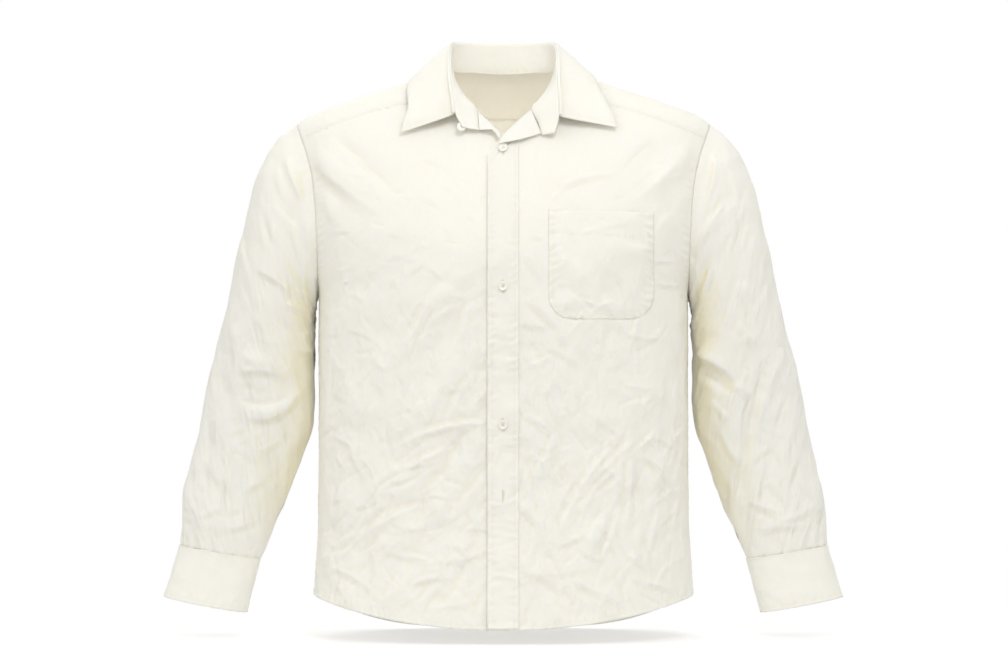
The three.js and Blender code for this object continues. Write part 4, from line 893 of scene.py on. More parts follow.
# %% [markdown]
# ## The yoke
# The yoke is a doubled band over the shoulders. Its grid runs from the back seam over the ridge to
# the front seam, and up to the neck seam between them. It is felled over the front and the back.
# Heights don't tell the front of a shoulder from its back, so this grid counts how far it is over
# the ridge instead: below 0 in front and above 0 behind.

# %% The yoke
OVER_FALL, OVER_POWER = 120, 1.8


def over_ridge(x, z, side):
    return side * (np.maximum(ridge_at(x) - z, 0) / OVER_FALL) ** (1 / OVER_POWER)


def at_ridge(x, over):
    z = ridge_at(x) - OVER_FALL * np.abs(over) ** OVER_POWER
    return stack(x, np.where(over < 0, depth_at(x, z, -1), depth_at(x, z, 1)), z)


def yoke_side(count):
    back_over = float(over_ridge(armhole_x(BACK_TOP), BACK_TOP, 1))
    front_over = float(over_ridge(armhole_x(FRONT_TOP), FRONT_TOP, -1))
    over = np.linspace(back_over, front_over, count)
    x = np.full(count, 240.0)
    for _ in range(30):
        x = lerp(x, armhole_x(ridge_at(x) - OVER_FALL * np.abs(over) ** OVER_POWER), 0.5)
    return np.stack([x, over], axis=-1)


def yoke_points(rows_count=61, columns_each=8):
    u = np.linspace(0, 9, 9 * columns_each + 1)
    x = lerp(float(armhole_x(FRONT_TOP)), CORNER[0], u / 9)
    seam = np.stack([x, over_ridge(x, front_seam_z(x), -1)], axis=-1)
    seam[0, 1] = float(over_ridge(armhole_x(FRONT_TOP), FRONT_TOP, -1))
    at = np.linspace(NECK_CORNER, NECK.shape[1] - 1, 5 * columns_each + 1)[1:]
    neck_x, neck_y, neck_z = neck_point(at)
    around = np.stack([neck_x, over_ridge(neck_x, neck_z, np.where(neck_y < 0, -1, 1))], axis=-1)
    right = np.concatenate([seam, around])
    left = right[:-1] * [-1, 1]
    high = np.concatenate([left, right[::-1]])
    low_x = np.linspace(-BACK_X, BACK_X, len(high))
    low = np.stack([low_x, over_ridge(low_x, back_seam_z(low_x), 1)], axis=-1)
    far = yoke_side(rows_count)
    near = far * [-1, 1]
    low[0], low[-1], high[0], high[-1] = near[0], far[0], near[-1], far[-1]
    grid = patch(low, high, near, far)[:, ::-1]
    points = at_ridge(grid[..., 0], grid[..., 1])
    small = 0.9 * creases(points[..., 0], points[..., 1] * 1.2, 34, 23)
    edge = edge_runs(points)
    guard = np.minimum.reduce([ease(0, 22, edge[key][0]) for key in edge])
    return lifted(points, grid_normals(points), small * guard)


yoke = sewn(yoke_points(), [("low", 5, 0.45, 0.3), ("high", 5, 0.35, 0.25), ("near", 0, 0, 0.2),
                            ("far", 0, 0, 0.2)])
cloth("yoke_cloth", tucked(yoke, "high"))

# %% [markdown]
# ## The sleeves
# A long sleeve is one piece, sewn into a tube under the arm. Each section of the filled arm is a
# rounded oval between an outer and an inner end. Near the shoulder the tube takes the armhole's own
# shape, which is why its first rows are blended with the ring of the armhole.

# %% The sleeves' sizes
SLEEVE = np.array([  # outer x, outer z, inner x, inner z, half depth, middle y
    [248, -38, 221, -240, 60, 2], [270, -55, 223, -248, 61, 4], [289, -82, 225, -256, 61, 6],
    [304, -122, 226.5, -264, 61, 8], [315, -168, 227, -273, 61, 9], [325, -215, 227, -287, 60, 10],
    [335, -262, 227, -310, 57, 11], [347, -312, 227, -345, 52, 12], [358, -357, 229, -392, 46, 11],
    [367, -402, 243, -432, 40, 9], [377, -447, 260, -480, 36, 6], [386, -492, 276, -518, 33, 3],
    [387, -538, 292, -554, 29, 0],
])
CUFF_SECTIONS = np.array([
    [388.5, -538.3, 291.5, -554.3, 30, 0], [398, -570, 299.5, -588, 30.5, -1],
    [407, -600, 308, -619, 31, -2],
])
SLEEVE_END = len(SLEEVE) - 1
SLIT_ANGLE = -1.05
print("a sleeve has", len(SLEEVE), "sections")

# %% [markdown]
# A section is drawn with a slightly squared circle, as a filled sleeve is a little flat in front.
# Where the sleeve is sewn in, the armhole is no such oval. The difference between the two rings is
# kept as a shift for each angle, and that shift fades out over the first four sections.

# %% The sleeves' surface
OVAL_POWER = 2.15


def section_point(table, at, angle):
    outer_x, outer_z, inner_x, inner_z, depth, y = (
        through(np.arange(len(table)), table[:, k], at) for k in range(6)
    )
    rounded = lambda t: np.sign(t) * np.abs(t) ** (2 / OVAL_POWER)
    out = (1 + rounded(np.cos(angle))) / 2
    y = y - depth * rounded(np.sin(angle))
    return stack(lerp(inner_x, outer_x, out), y, lerp(inner_z, outer_z, out))


def armhole_ring():
    front = side_edge(FRONT_TOP, 8)[16 * 8:, 1]
    behind = side_edge(BACK_TOP, 8)[16 * 8:, 1][::-1]
    over = yoke_side(60)[::-1]
    reach = lambda z: np.where(z <= ARMPIT, half_at(z), armhole_x(z))
    return np.concatenate([
        stack(reach(front), depth_at(reach(front), front, -1), front),
        at_ridge(over[:, 0], over[:, 1])[1:-1],
        stack(reach(behind), depth_at(reach(behind), behind, 1), behind),
    ])


def ring_angles(ring):
    outer_x, outer_z, inner_x, inner_z, depth, y = SLEEVE[0]
    middle = np.array([(outer_x + inner_x) / 2, y, (outer_z + inner_z) / 2])
    up = np.array([outer_x, y, outer_z]) - middle
    unround = lambda t: np.sign(t) * np.abs(t) ** (OVAL_POWER / 2)
    away = ring - middle
    return np.arctan2(unround(-away[:, 1] / depth), unround(away @ up / (up @ up)))


RING = armhole_ring()
RING_ANGLE = ring_angles(RING)
RING_ANGLE[-1] = -math.pi
ORDER = np.argsort(RING_ANGLE)
HEAD_SHIFT = (RING - section_point(SLEEVE, 0.0, RING_ANGLE))[ORDER]
RING_ANGLE = RING_ANGLE[ORDER]


def sleeve_place(at, angle):
    points = section_point(SLEEVE, at, angle)
    shift = stack(*(np.interp(angle, RING_ANGLE, HEAD_SHIFT[:, k]) for k in range(3)))
    return points + shift * (np.clip(1 - at / 4, 0, 1) ** 2)[..., None]


print("armhole ring of", len(RING), "points")

# %% [markdown]
# A sleeve creases hardest where the elbow bends, and it is gathered a little into the cuff. The front
# and the back of the arm get creases of their own, which fade towards the edges of the tube, where
# they would meet. The right sleeve is the left one mirrored, with other seeds and other creases.

# %% The sleeves
SLEEVE_ROUND, SLEEVE_STEP = 50.0, 41.0  # millimetres of cloth for each radian and each section


def sleeve_relief(at, angle, base, sign):
    side = np.where(np.sin(angle) > 0, -1, 1)
    x, z = base[..., 0] * sign, base[..., 2]
    share = ease(0.5, 2.5, at) * (1 - ease(SLEEVE_END - 0.8, SLEEVE_END, at))
    share = share * ease(0.1, 0.7, np.abs(np.sin(angle))) * ease(-1.02, -0.75, np.cos(angle))
    large = np.where(side < 0, fold_height(x, z, -1, sharp=1.3), fold_height(x, z, 1, sharp=1.3))
    large = 0.7 * large * share
    u, v = angle * SLEEVE_ROUND, at * SLEEVE_STEP
    seed = 60 if sign > 0 else 83
    small = 0.5 * creases(u, v, 48, seed) + 0.08 * facets(u, v, 46, seed + 1, 60)
    small = small + 0.08 * facets(u, v, 22, seed + 2, 130)
    facing = ease(0.05, 0.5, np.abs(np.sin(angle)))
    ahead = crease_height(x, z, CREASES) + crease_height(sign * x, z, ARM_SHARDS)
    behind = 0.9 * crease_height(-x, z + 14, CREASES) + crease_height(sign * x + 6, z - 11, ARM_SHARDS)
    small = small + np.where(side < 0, ahead, behind) * facing
    gathers = 0.8 * np.sin(angle * 17 + 9 * noise(u, v, 40, seed + 7))
    gathers = gathers * ease(SLEEVE_END - 0.7, SLEEVE_END, at)
    gathers = gathers * (0.2 + 1.3 * noise(u, 0 * u, 26, seed + 9))
    small = small * ease(0, 0.8, at) * (1 - 0.6 * ease(SLEEVE_END - 0.4, SLEEVE_END, at))
    return large + small + gathers


def sleeve_layer(at, angle, sign, lift=0.0):
    """Points of a layer on a sleeve, for the wearer's left (sign 1) or right arm, before mirroring."""
    base = sleeve_place(at, angle)
    normals = base_normals(sleeve_place, at, angle, -1, 0.02, 0.02)
    return lifted(base, normals, sleeve_relief(at, angle, base, sign) + lift)


def on_arm(points, sign):
    """Mirrors a grid for the other arm, so that its outer side still shows."""
    points = points * [sign, 1, 1]
    return points if sign > 0 else points[:, ::-1]


ARMS = (("left", 1), ("right", -1))
ALMOST_ROUND = math.pi - 0.004
sleeves = {}
for arm, sign in ARMS:
    rows, columns = np.linspace(0, SLEEVE_END, 181), np.linspace(-ALMOST_ROUND, ALMOST_ROUND, 137)
    at, angle = np.meshgrid(rows, columns, indexing="ij")
    points = on_arm(sleeve_layer(at, angle, sign), sign)
    sleeves[arm] = sewn(points, [("low", 0, 0, 0.35), ("high", 0, 0, 0.3)])
    cloth(f"sleeve_{arm}_cloth", tucked(tucked(sleeves[arm], "low"), "high"))

# %% [markdown]
# ## The cuffs
# A cuff is a doubled, stiffened band. It isn't a closed ring: its ends lap at the back of the wrist,
# where a button holds them. A row of stitches runs five millimetres in from its edges.

# %% The cuffs
CUFF_COLUMNS = 30
CUFF_LAP = 24.0
CUFF_SEAMS = [("low", 3, 0.2, 0.25), ("high", 5, 0.25, 0.3), ("near", 5, 0.2, 0.1), ("far", 5, 0.2, 0.1)]


def cuff_place(at, column):
    share = column / CUFF_COLUMNS
    angle = SLIT_ANGLE - share * (2 * math.pi + CUFF_LAP / CUFF_SECTIONS[0, 4])
    points = section_point(CUFF_SECTIONS, at, angle)
    outer = section_point(CUFF_SECTIONS, at, 0 * angle)
    inner = section_point(CUFF_SECTIONS, at, 0 * angle + math.pi)
    out = unit(points - (outer + inner) / 2)
    return points + out * (2.6 * ease(CUFF_COLUMNS - 5, CUFF_COLUMNS - 3, column))[..., None]


cuffs = {}
for arm, sign in ARMS:
    at, column = np.meshgrid(np.linspace(0, 2, 33), np.linspace(CUFF_COLUMNS, 0, 151), indexing="ij")
    points = cuff_place(at, column)
    u, v = column * 10, at * 34
    small = 0.55 * creases(u, v, 42, 31 + sign) + 0.3 * creases(u, v, 19, 35 + sign)
    points = lifted(points, grid_normals(points), small)
    cuffs[arm] = sewn(on_arm(points, sign), CUFF_SEAMS)
    cloth(f"cuff_{arm}_cloth", cuffs[arm], DOUBLE_THICK)

# %% [markdown]
# Above each cuff the sleeve is slit, so that the hand goes through. A strip with a pointed top binds
# the slit. It lies on the sleeve, so it is made from the sleeve's own surface, lifted a little.

# %% The sleeve plackets
def strip_layer(sign, lift):
    v, u = np.meshgrid(np.linspace(0, 1, 61), np.linspace(-1, 1, 15), indexing="ij")
    at = lerp(SLEEVE_END - 0.12, SLEEVE_END - 2.7, v)
    half = 12 * np.where(v <= 0.9, 1, lerp(1, 0.1, (v - 0.9) / 0.1))
    return sleeve_layer(at, SLIT_ANGLE - u * half / 46, sign, lift)


strips = {}
for arm, sign in ARMS:
    points = on_arm(strip_layer(sign, 1.5), sign)
    strips[arm] = sewn(points, [("near", 2, 0.15, 0.2), ("far", 2, 0.15, 0.2)])
    cloth(f"sleeve_placket_{arm}_cloth", strips[arm], 1.4)

# %% [markdown]
# ## The collar
# A shirt collar is two parts: a stand that follows the neck, and a leaf that is folded over the stand
# and falls outside it. Both are doubled and stiffened. Three lines make it: the neck seam, the fold
# at the top, and the leaf's free edge with its points.

# %% The collar's sizes
COLLAR = np.array([  # seam x y, fold x y z, edge x y z, from the middle of the back
    [0, 57, 0, 60, 66, 0, 74, 22], [24, 54, 24, 57, 66, 28, 71, 22], [44, 45, 44, 49, 66, 55, 60, 23.5],
    [58, 30, 57, 33, 65, 78, 40, 27], [65, 8, 61.5, 12, 62, 96, 13, 28.5],
    [64, -16, 63.5, -15, 53, 107, -14, 23], [56, -36, 64, -37, 36, 115, -36, 6],
])
COLLAR_FRONT = {
    "left": [[43, -52, 64, -58, 12, 125, -58, -16], [34, -61, 65.5, -71, -10, 131, -69, -32]],
    "right": [[43, -52, 62, -58, 12, 113, -59, -16], [32, -62, 59, -71, -8, 118, -71, -34]],
}
COLLAR_FREE = {  # seam x y z, fold x y z, edge x y z
    "left": [[41, -70, -36, 65.5, -77, -28, 134, -74, -42],
             [46, -78, -50, 61, -80, -48, 134, -74, -42]],
    "right": [[30.5, -70, -34, 57, -77, -25, 121, -76, -48.5],
              [30, -78, -45, 49, -80, -41, 121, -76, -48.5]],
}


def collar_table(side):
    rows = [*COLLAR.tolist(), *COLLAR_FRONT[side]]
    on_seam = [[x, y, height_at(x, y), *rest] for x, y, *rest in rows]
    return np.array(on_seam + COLLAR_FREE[side], float)


COLLAR_TABLES = {side: collar_table(side) for side in ("left", "right")}


def collar_line(side, name, at):
    table = COLLAR_TABLES[side]
    first = {"seam": 0, "fold": 3, "edge": 6}[name]
    return stack(*(through(np.arange(len(table)), table[:, first + k], at) for k in range(3)))


def stand_half(side, at, steps):
    seam, fold = collar_line(side, "seam", at), collar_line(side, "fold", at)
    seam = seam + 1.4 * unit(fold - seam)
    return np.stack([lerp(seam, fold, v) for v in steps])


print("collar rows", {side: len(table) for side, table in COLLAR_TABLES.items()})

# %% [markdown]
# The leaf rolls over the stand rather than folding flat on it, and then falls in a soft belly to its
# free edge. A curve through five points at each place along the collar gives that roll: where it
# leaves the stand, its crest, its shoulder, its belly and its edge.

# %% The leaf's roll
def curve_through(points, t):
    """A centripetal Catmull-Rom curve through a list of point rows, read at t from 0 to 1."""
    whole = [2 * points[0] - points[1], *points, 2 * points[-1] - points[-2]]
    k = min(int(t * (len(points) - 1)), len(points) - 2)
    w = t * (len(points) - 1) - k
    p0, p1, p2, p3 = whole[k:k + 4]
    d0, d1, d2 = (np.maximum(np.linalg.norm(b - a, axis=-1, keepdims=True), 1e-6) ** 0.5
                  for a, b in ((p0, p1), (p1, p2), (p2, p3)))
    t1 = ((p1 - p0) / d0 - (p2 - p0) / (d0 + d1) + (p2 - p1) / d1) * d1
    t2 = ((p2 - p1) / d1 - (p3 - p1) / (d1 + d2) + (p3 - p2) / d2) * d1
    return (p1 * (2 * w**3 - 3 * w**2 + 1) + p2 * (3 * w**2 - 2 * w**3)
            + t1 * (w**3 - 2 * w**2 + w) + t2 * (w**3 - w**2))


def leaf_half(side, at, steps):
    end = len(COLLAR_TABLES[side]) - 2
    seam, fold, edge = (collar_line(side, name, at) for name in ("seam", "fold", "edge"))
    up = unit(fold - seam)
    ahead, behind = (collar_line(side, "fold", np.clip(at + step, 0, end)) for step in (0.05, -0.05))
    out = unit(np.cross(ahead - behind, up))
    out = out * np.where(((edge - fold) * out).sum(axis=-1, keepdims=True) < 0, -1, 1)
    start = fold + 0.1 * up - 0.2 * out
    crest = start + 2.6 * up + 2.0 * out
    shoulder = start + 4.8 * out
    belly = (shoulder + edge) / 2 + 3 * out
    return np.stack([curve_through([start, crest, shoulder, belly, edge], t) for t in steps])


def whole_collar(half, end, steps, columns):
    """Joins the two halves across the middle of the back, the right one mirrored."""
    at = np.linspace(0, end, columns)
    right = half("right", at, steps) * [-1, 1, 1]
    return np.concatenate([right[:, ::-1], half("left", at, steps)[:, 1:]], axis=1)


print("the leaf at the middle of the back", leaf_half("left", np.array([0.0]), [0, 1]).round(1).tolist())

# %% [markdown]
# Both parts run right round in one grid, from the free end of the right half over the middle of the
# back to the left one. The stand's seamed edge and its ends are tucked in.

# %% Making the stand and the leaf
COLLAR_END = len(COLLAR_TABLES["left"]) - 1
stand = whole_collar(stand_half, COLLAR_END, np.linspace(1, 0, 22), 90)
across, down = run_lengths(stand, 1), 40 * np.linspace(0, 1, 22)[:, None]
stand = lifted(stand, grid_normals(stand), 0.4 * creases(across, 0 * across + down, 36, 5))
stand = sewn(stand, [("high", 3, 0.25, 0.3), ("near", 4, 0.2, 0.1), ("far", 4, 0.2, 0.1)])
stand = tucked(tucked(tucked(stand, "high", 2.4, 0), "near", 1.6, 0.3), "far", 1.6, 0.3)
cloth("collar_stand_cloth", stand, DOUBLE_THICK)

LEAF_STEPS = np.concatenate([np.linspace(0, 0.25, 8)[:-1], np.linspace(0.25, 1, 22)])
leaf = whole_collar(leaf_half, COLLAR_END - 1, LEAF_STEPS, 90)
across, down = run_lengths(leaf, 1), run_lengths(leaf, 0)
leaf = lifted(leaf, grid_normals(leaf), 0.5 * creases(across, down, 44, 8) * ease(4, 14, down))
leaf = sewn(leaf, [("high", 5, 0.3, 0.25), ("near", 5, 0.3, 0.1), ("far", 5, 0.3, 0.1)])
cloth("collar_leaf_cloth", leaf, DOUBLE_THICK)

# %% [markdown]
# With the collar open, the top corner of each front falls outwards like a small lapel. It is the
# front's own cloth beyond a roll line, so its strip starts on the neck seam. It is single cloth, and
# its seamed edge runs in under the stand's end.

# %% The turned corners
TURN = {  # roll x y, free x y z
    "left": [[33, -62, 44.5, -78, -49.5], [17, -70, 20, -87, -57], [2, -77, -6, -92, -62]],
    "right": [[30, -63, 28.5, -78, -45.5], [17, -70, 15, -83, -45], [3, -76.5, 4.5, -87, -56]],
}


def turned_corner(arm, sign, rows_count=37, columns=19):
    table = np.array(TURN[arm], float)
    s = np.linspace(0, 2, rows_count)
    roll_x, roll_y, free_x, free_y, free_z = (through([0, 1, 2], table[:, k], s) for k in range(5))
    sunk = lap_sink(roll_x) if sign < 0 else 0 * roll_x
    roll = stack(roll_x, roll_y + sunk, np.array([height_at(x, y) for x, y in zip(roll_x, roll_y)]))
    free = stack(free_x, free_y, free_z)
    roll = lerp(roll, free, 0.06) + [0, -1.9 if sign > 0 else -1.0, 0]
    middle = lerp(roll, free, 0.5) + [0, -1.5, 0]
    t = np.linspace(0, 1, columns)[None, :, None]
    points = (roll[:, None] * (2 * t - 1) * (t - 1) + middle[:, None] * 4 * t * (1 - t)
              + free[:, None] * t * (2 * t - 1)) * [sign, 1, 1]
    return points[::-1] if sign > 0 else points


turns = {}
for arm, sign in ARMS:
    turns[arm] = sewn(turned_corner(arm, sign), [("far", 3, 0.2, 0.12)])
    cloth(f"front_turn_{arm}_cloth", tucked(turns[arm], "near", 3.5, 0.45), CLOTH_THICK)

# %% [markdown]
# ## What lies on the left front
# The buttonhole band runs down the edge of the left front and the pocket lies on the chest. Both
# follow every fold of the front under them, so they are lifted off the same surface. A Shrinkwrap
# modifier could press a flat strip on the front, but stitches are read off these grids in code.

# %% The placket
def on_front(x, z, lift):
    """A layer on the left front, lift millimetres above it."""
    place = lambda turn, height: at_turn(turn, height, -1)
    turn = turn_of(x, z)
    base = place(turn, z)
    normals = base_normals(place, turn, z, 1, 0.004, 1.0)
    return lifted(base, normals, body_relief(base[..., 0], base[..., 2], -1) + lift)


PLACKET_EDGES = (-18.6, 18)


def placket_points():
    v, x = np.meshgrid(np.linspace(0, 1, 301), np.linspace(*PLACKET_EDGES, 19), indexing="ij")
    z = lerp(-629, -69 + x, v)
    stiff = 0.5 * creases(x * 0.6, z, 19, 52) * (1 - ease(-330, -80, z))
    return on_front(x, z, lerp(1.35, 0.7, ease(4, 18, x)) + stiff)


placket = sewn(placket_points(), [("near", 6, 0.35, 0.4), ("far", 6, 0.35, 0.4), ("low", 5, 0.2, 0.2)])
cloth("placket_cloth", placket, 1.25)

# %% [markdown]
# A patch pocket is sewn down on three sides and open at its turned top, so it lies close at its edges
# and bellies out a little in the middle. Its two lower corners are quarter circles: rows near the
# bottom are made narrower, by as much as the circle asks.

# %% The pocket
POCKET_LEFT, POCKET_RIGHT, POCKET_TOP, POCKET_BOTTOM = 52.0, 176.0, -140.0, -268.0
POCKET_CORNER = 28.0


def pocket_points():
    v, u = np.meshgrid(np.linspace(0, 1, 69) ** 1.25, np.linspace(-1, 1, 63), indexing="ij")
    rise = v * (POCKET_TOP - POCKET_BOTTOM)
    into_corner = np.clip(1 - rise / POCKET_CORNER, 0, 1)
    narrow = POCKET_CORNER * (1 - np.sqrt(1 - into_corner**2))
    x = (POCKET_LEFT + POCKET_RIGHT) / 2 + u * ((POCKET_RIGHT - POCKET_LEFT) / 2 - narrow)
    z = POCKET_BOTTOM + rise - 4 * v * (0.5 + u / 2)
    belly = 1.4 * ease(0, 0.35, 1 - np.abs(u)) * ease(0, 20, rise)
    own = 1.1 * creases(x, z, 40, 77) * belly
    seated = lerp(0.3, 0.75, ease(0, 5, np.minimum((1 - np.abs(u)) * 62, rise)))
    return on_front(x, z, seated + belly + own)


pocket = sewn(pocket_points(), [("near", 5, 0.3, 0.45), ("far", 5, 0.3, 0.45), ("low", 5, 0.3, 0.3),
                                ("high", 29, 0.35, 0.35)])
cloth("pocket_cloth", pocket, 1.0)

# %% [markdown]
# ## Buttons
# A shirt button is turned from a sheet: a flat back, a rounded rim and a dished middle with four
# holes. The profile is spun into a mesh, the holes are cut with a Boolean, and the shape is then
# copied to each place. The mesh carries the place, so each object stays at the origin.

# %% The button's shape
BUTTON_PROFILE = [  # radius and height, from the middle of the back to the middle of the face
    (0.0, 0.0), (4.9, 0.0), (5.35, 0.18), (5.65, 0.6), (5.7, 1.15), (5.6, 1.7), (5.3, 2.15), (4.9, 2.3),
    (4.5, 2.22), (4.15, 1.9), (3.8, 1.62), (3.3, 1.5), (0.0, 1.42),
]
HOLE_OUT, HOLE_RADIUS = 1.25, 0.62


def spun(profile, sides):
    """A profile turned round its axis. A point on the axis is one point, not a ring of them."""
    verts, faces, rings = [], [], []
    for radius, height in profile:
        if radius == 0:
            rings.append([len(verts)] * sides)
            verts.append((0, 0, height))
            continue
        rings.append(list(range(len(verts), len(verts) + sides)))
        for k in range(sides):
            turn = 2 * math.pi * k / sides
            verts.append((radius * math.cos(turn), radius * math.sin(turn), height))
    for low, high in zip(rings, rings[1:]):
        for k in range(sides):
            m = (k + 1) % sides
            faces.append(list(dict.fromkeys([low[k], low[m], high[m], high[k]])))
    return verts, [face for face in faces if len(face) > 2]


def plain_object(name, verts, faces):
    mesh = bpy.data.meshes.new(name)
    mesh.from_pydata([tuple(v) for v in verts], [], faces)
    mesh.validate()
    piece = bpy.data.objects.new(name, mesh)
    bpy.context.scene.collection.objects.link(piece)
    return piece


def evaluated_copy(piece, name):
    """The mesh that a piece's modifiers make, as a plain mesh."""
    graph = bpy.context.evaluated_depsgraph_get()
    graph.update()
    mesh = bpy.data.meshes.new_from_object(piece.evaluated_get(graph))
    mesh.name = name
    return mesh


print("the profile has", len(BUTTON_PROFILE), "points")

# %% [markdown]
# Drilling is what the Boolean modifier does: four round rods in one helper object are taken out of
# the blank. Its result is copied as a plain mesh, and both helpers are thrown away.

# %% Drilling the holes
blank = plain_object("button_blank", *spun(BUTTON_PROFILE, 48))
drill_verts, drill_faces = [], []
for k in range(4):
    turn = math.pi / 4 + k * math.pi / 2
    drill, faces = spun([(0, -1.0), (HOLE_RADIUS, -1.0), (HOLE_RADIUS, 4.0), (0, 4.0)], 12)
    start = len(drill_verts)
    away_x, away_y = HOLE_OUT * math.cos(turn), HOLE_OUT * math.sin(turn)
    drill_verts += [(x + away_x, y + away_y, z) for x, y, z in drill]
    drill_faces += [[start + i for i in face] for face in faces]
drills = plain_object("button_drills", drill_verts, drill_faces)
cut = blank.modifiers.new("holes", "BOOLEAN")
cut.object = drills
cut.solver = "EXACT"
button_mesh = evaluated_copy(blank, "button_shape")
for helper in (blank, drills):
    bpy.data.objects.remove(helper)
print("button faces", len(button_mesh.polygons))

# %% [markdown]
# Three buttons hold the band, one holds each cuff, and the collar's own is at the open right end of
# the stand. Each is turned to lie on the cloth that it is sewn to. A narrow bevel rounds its edges.

# %% Placing the buttons
def frame_on(normal, upright=(0, 0, 1)):
    """A turn whose third axis is the normal and whose second leans towards upright."""
    normal = unit(np.asarray(normal, float))
    side = unit(np.cross(upright, normal))
    return np.stack([side, np.cross(normal, side), normal], axis=-1)


def place_button(name, point, normal, upright=(0, 0, 1)):
    mesh = button_mesh.copy()
    verts = np.empty(len(mesh.vertices) * 3)
    mesh.vertices.foreach_get("co", verts)
    moved = verts.reshape(-1, 3) @ frame_on(normal, upright).T + point
    mesh.vertices.foreach_set("co", (moved * MM).ravel())
    mesh.update()
    mesh.shade_smooth()
    piece = bpy.data.objects.new(name, mesh)
    bpy.context.scene.collection.objects.link(piece)
    bevel = piece.modifiers.new("soft hole edges", "BEVEL")
    bevel.width = 0.12 * MM
    bevel.segments = 2
    bevel.limit_method = "ANGLE"
    bevel.angle_limit = math.radians(50)
    pieces[name] = piece
    return point, normal, upright


BUTTON_X = -0.6
BUTTON_HEIGHTS = [-68.0, -229.5, -391.0]


def spot_on_front(x, z, lift):
    near = on_front(*np.meshgrid([x - 2, x + 2], [z - 2, z + 2]), lift)
    return near.reshape(-1, 3).mean(axis=0), grid_normals(near).reshape(-1, 3).mean(axis=0)


button_spots = {}
for number, z in enumerate(BUTTON_HEIGHTS, 1):
    point, normal = spot_on_front(BUTTON_X, z, 2.1)
    button_spots[f"button_{number}"] = place_button(f"button_{number}_shell", point, normal)

for arm, sign in ARMS:
    near = cuff_place(np.array([[0.6, 0.6], [0.74, 0.74]]), np.array([[28.2, 27.8], [28.2, 27.8]]))
    near = on_arm(near, sign)
    point = near.reshape(-1, 3).mean(axis=0) + grid_normals(near)[0, 0] * 0.7
    name = f"cuff_button_{arm}"
    button_spots[name] = place_button(f"{name}_shell", point, grid_normals(near)[0, 0])

near = stand_half("right", np.array([COLLAR_END - 0.12, COLLAR_END]), [1.0, 0.9])[:, ::-1] * [-1, 1, 1]
behind = grid_normals(near)[0, 0]
button_spots["collar_button"] = place_button("collar_button_shell", near[0, 0] + behind * 1.2, behind)
print("buttons placed", list(button_spots))

# %% [markdown]
# ## Thread
# Stitches repeat along seams, which is what Geometry Nodes are for. One tree turns each seam line
# into a curve, sets points on it a stitch apart and puts a slim bead of thread on each. Another tree
# makes a solid thread of any line, for the worked buttonholes and for the buttons' own thread. Both
# begin and end alike, so helpers do that.

# %% Starting a tree
def new_tree(name, inputs):
    tree = bpy.data.node_groups.new(name, "GeometryNodeTree")
    tree.interface.new_socket("Geometry", in_out="INPUT", socket_type="NodeSocketGeometry")
    tree.interface.new_socket("Geometry", in_out="OUTPUT", socket_type="NodeSocketGeometry")
    for label, kind, value in inputs:
        socket = tree.interface.new_socket(label, in_out="INPUT", socket_type=kind)
        if value is not None:
            socket.default_value = value
    return tree, tree.nodes.new("NodeGroupInput"), tree.nodes.new("NodeGroupOutput")


def add(tree, kind, inputs=(), **settings):
    """Adds a node. Its inputs are plain values or other nodes' outputs."""
    made = tree.nodes.new(kind)
    for key, value in settings.items():
        setattr(made, key, value)
    for key, value in dict(inputs).items():
        if isinstance(value, bpy.types.NodeSocket):
            tree.links.new(value, made.inputs[key])
        else:
            made.inputs[key].default_value = value
    return made


def painted(tree, mesh, thread, made):
    """Ends a tree: instances made real, and the thread's material set."""
    real = add(tree, "GeometryNodeRealizeInstances", {0: mesh})
    paint = add(tree, "GeometryNodeSetMaterial", {"Geometry": real.outputs[0], "Material": thread})
    tree.links.new(paint.outputs[0], made.inputs["Geometry"])


print("tree helpers ready")

# %% [markdown]
# A machine stitch seen from a step away is a short bead of thread that dips into the cloth at both
# ends. A sphere of a few faces, drawn out along the seam, has that form. No two stitches are quite
# as long, so a random value with a fixed seed stretches each one a little.

# %% A tree for rows of stitches
def stitch_tree():
    tree, given, made = new_tree("rows of stitches", [
        ("Stitch spacing", "NodeSocketFloat", 3.0 * MM),
        ("Stitch length", "NodeSocketFloat", 2.3 * MM),
        ("Thread radius", "NodeSocketFloat", 0.24 * MM),
        ("Thread", "NodeSocketMaterial", None),
    ])
    radius = given.outputs["Thread radius"]
    as_curve = add(tree, "GeometryNodeMeshToCurve", {"Mesh": given.outputs["Geometry"]})
    spaced = add(tree, "GeometryNodeResampleCurve", {
        "Curve": as_curve.outputs["Curve"], "Length": given.outputs["Stitch spacing"],
    }, mode="LENGTH")
    bead = add(tree, "GeometryNodeMeshUVSphere", {"Segments": 5, "Rings": 3, "Radius": radius})
    half = add(tree, "ShaderNodeMath", {0: given.outputs["Stitch length"], 1: 0.5}, operation="MULTIPLY")
    ratio = add(tree, "ShaderNodeMath", {0: half.outputs[0], 1: radius}, operation="DIVIDE")
    size = add(tree, "ShaderNodeCombineXYZ", {"X": 1, "Y": 1, "Z": ratio.outputs[0]})
    tangent = add(tree, "GeometryNodeInputTangent").outputs["Tangent"]
    turn = add(tree, "FunctionNodeAlignRotationToVector", {"Vector": tangent}, axis="Z")
    uneven = add(tree, "FunctionNodeRandomValue", {2: 0.88, 3: 1.1, "Seed": 4}, data_type="FLOAT")
    scaled = add(tree, "ShaderNodeVectorMath", {
        0: size.outputs[0], "Scale": uneven.outputs[1],
    }, operation="SCALE")
    place = add(tree, "GeometryNodeInstanceOnPoints", {
        "Points": spaced.outputs["Curve"], "Instance": bead.outputs["Mesh"],
        "Rotation": turn.outputs["Rotation"], "Scale": scaled.outputs["Vector"],
    })
    painted(tree, place.outputs["Instances"], given.outputs["Thread"], made)
    return tree


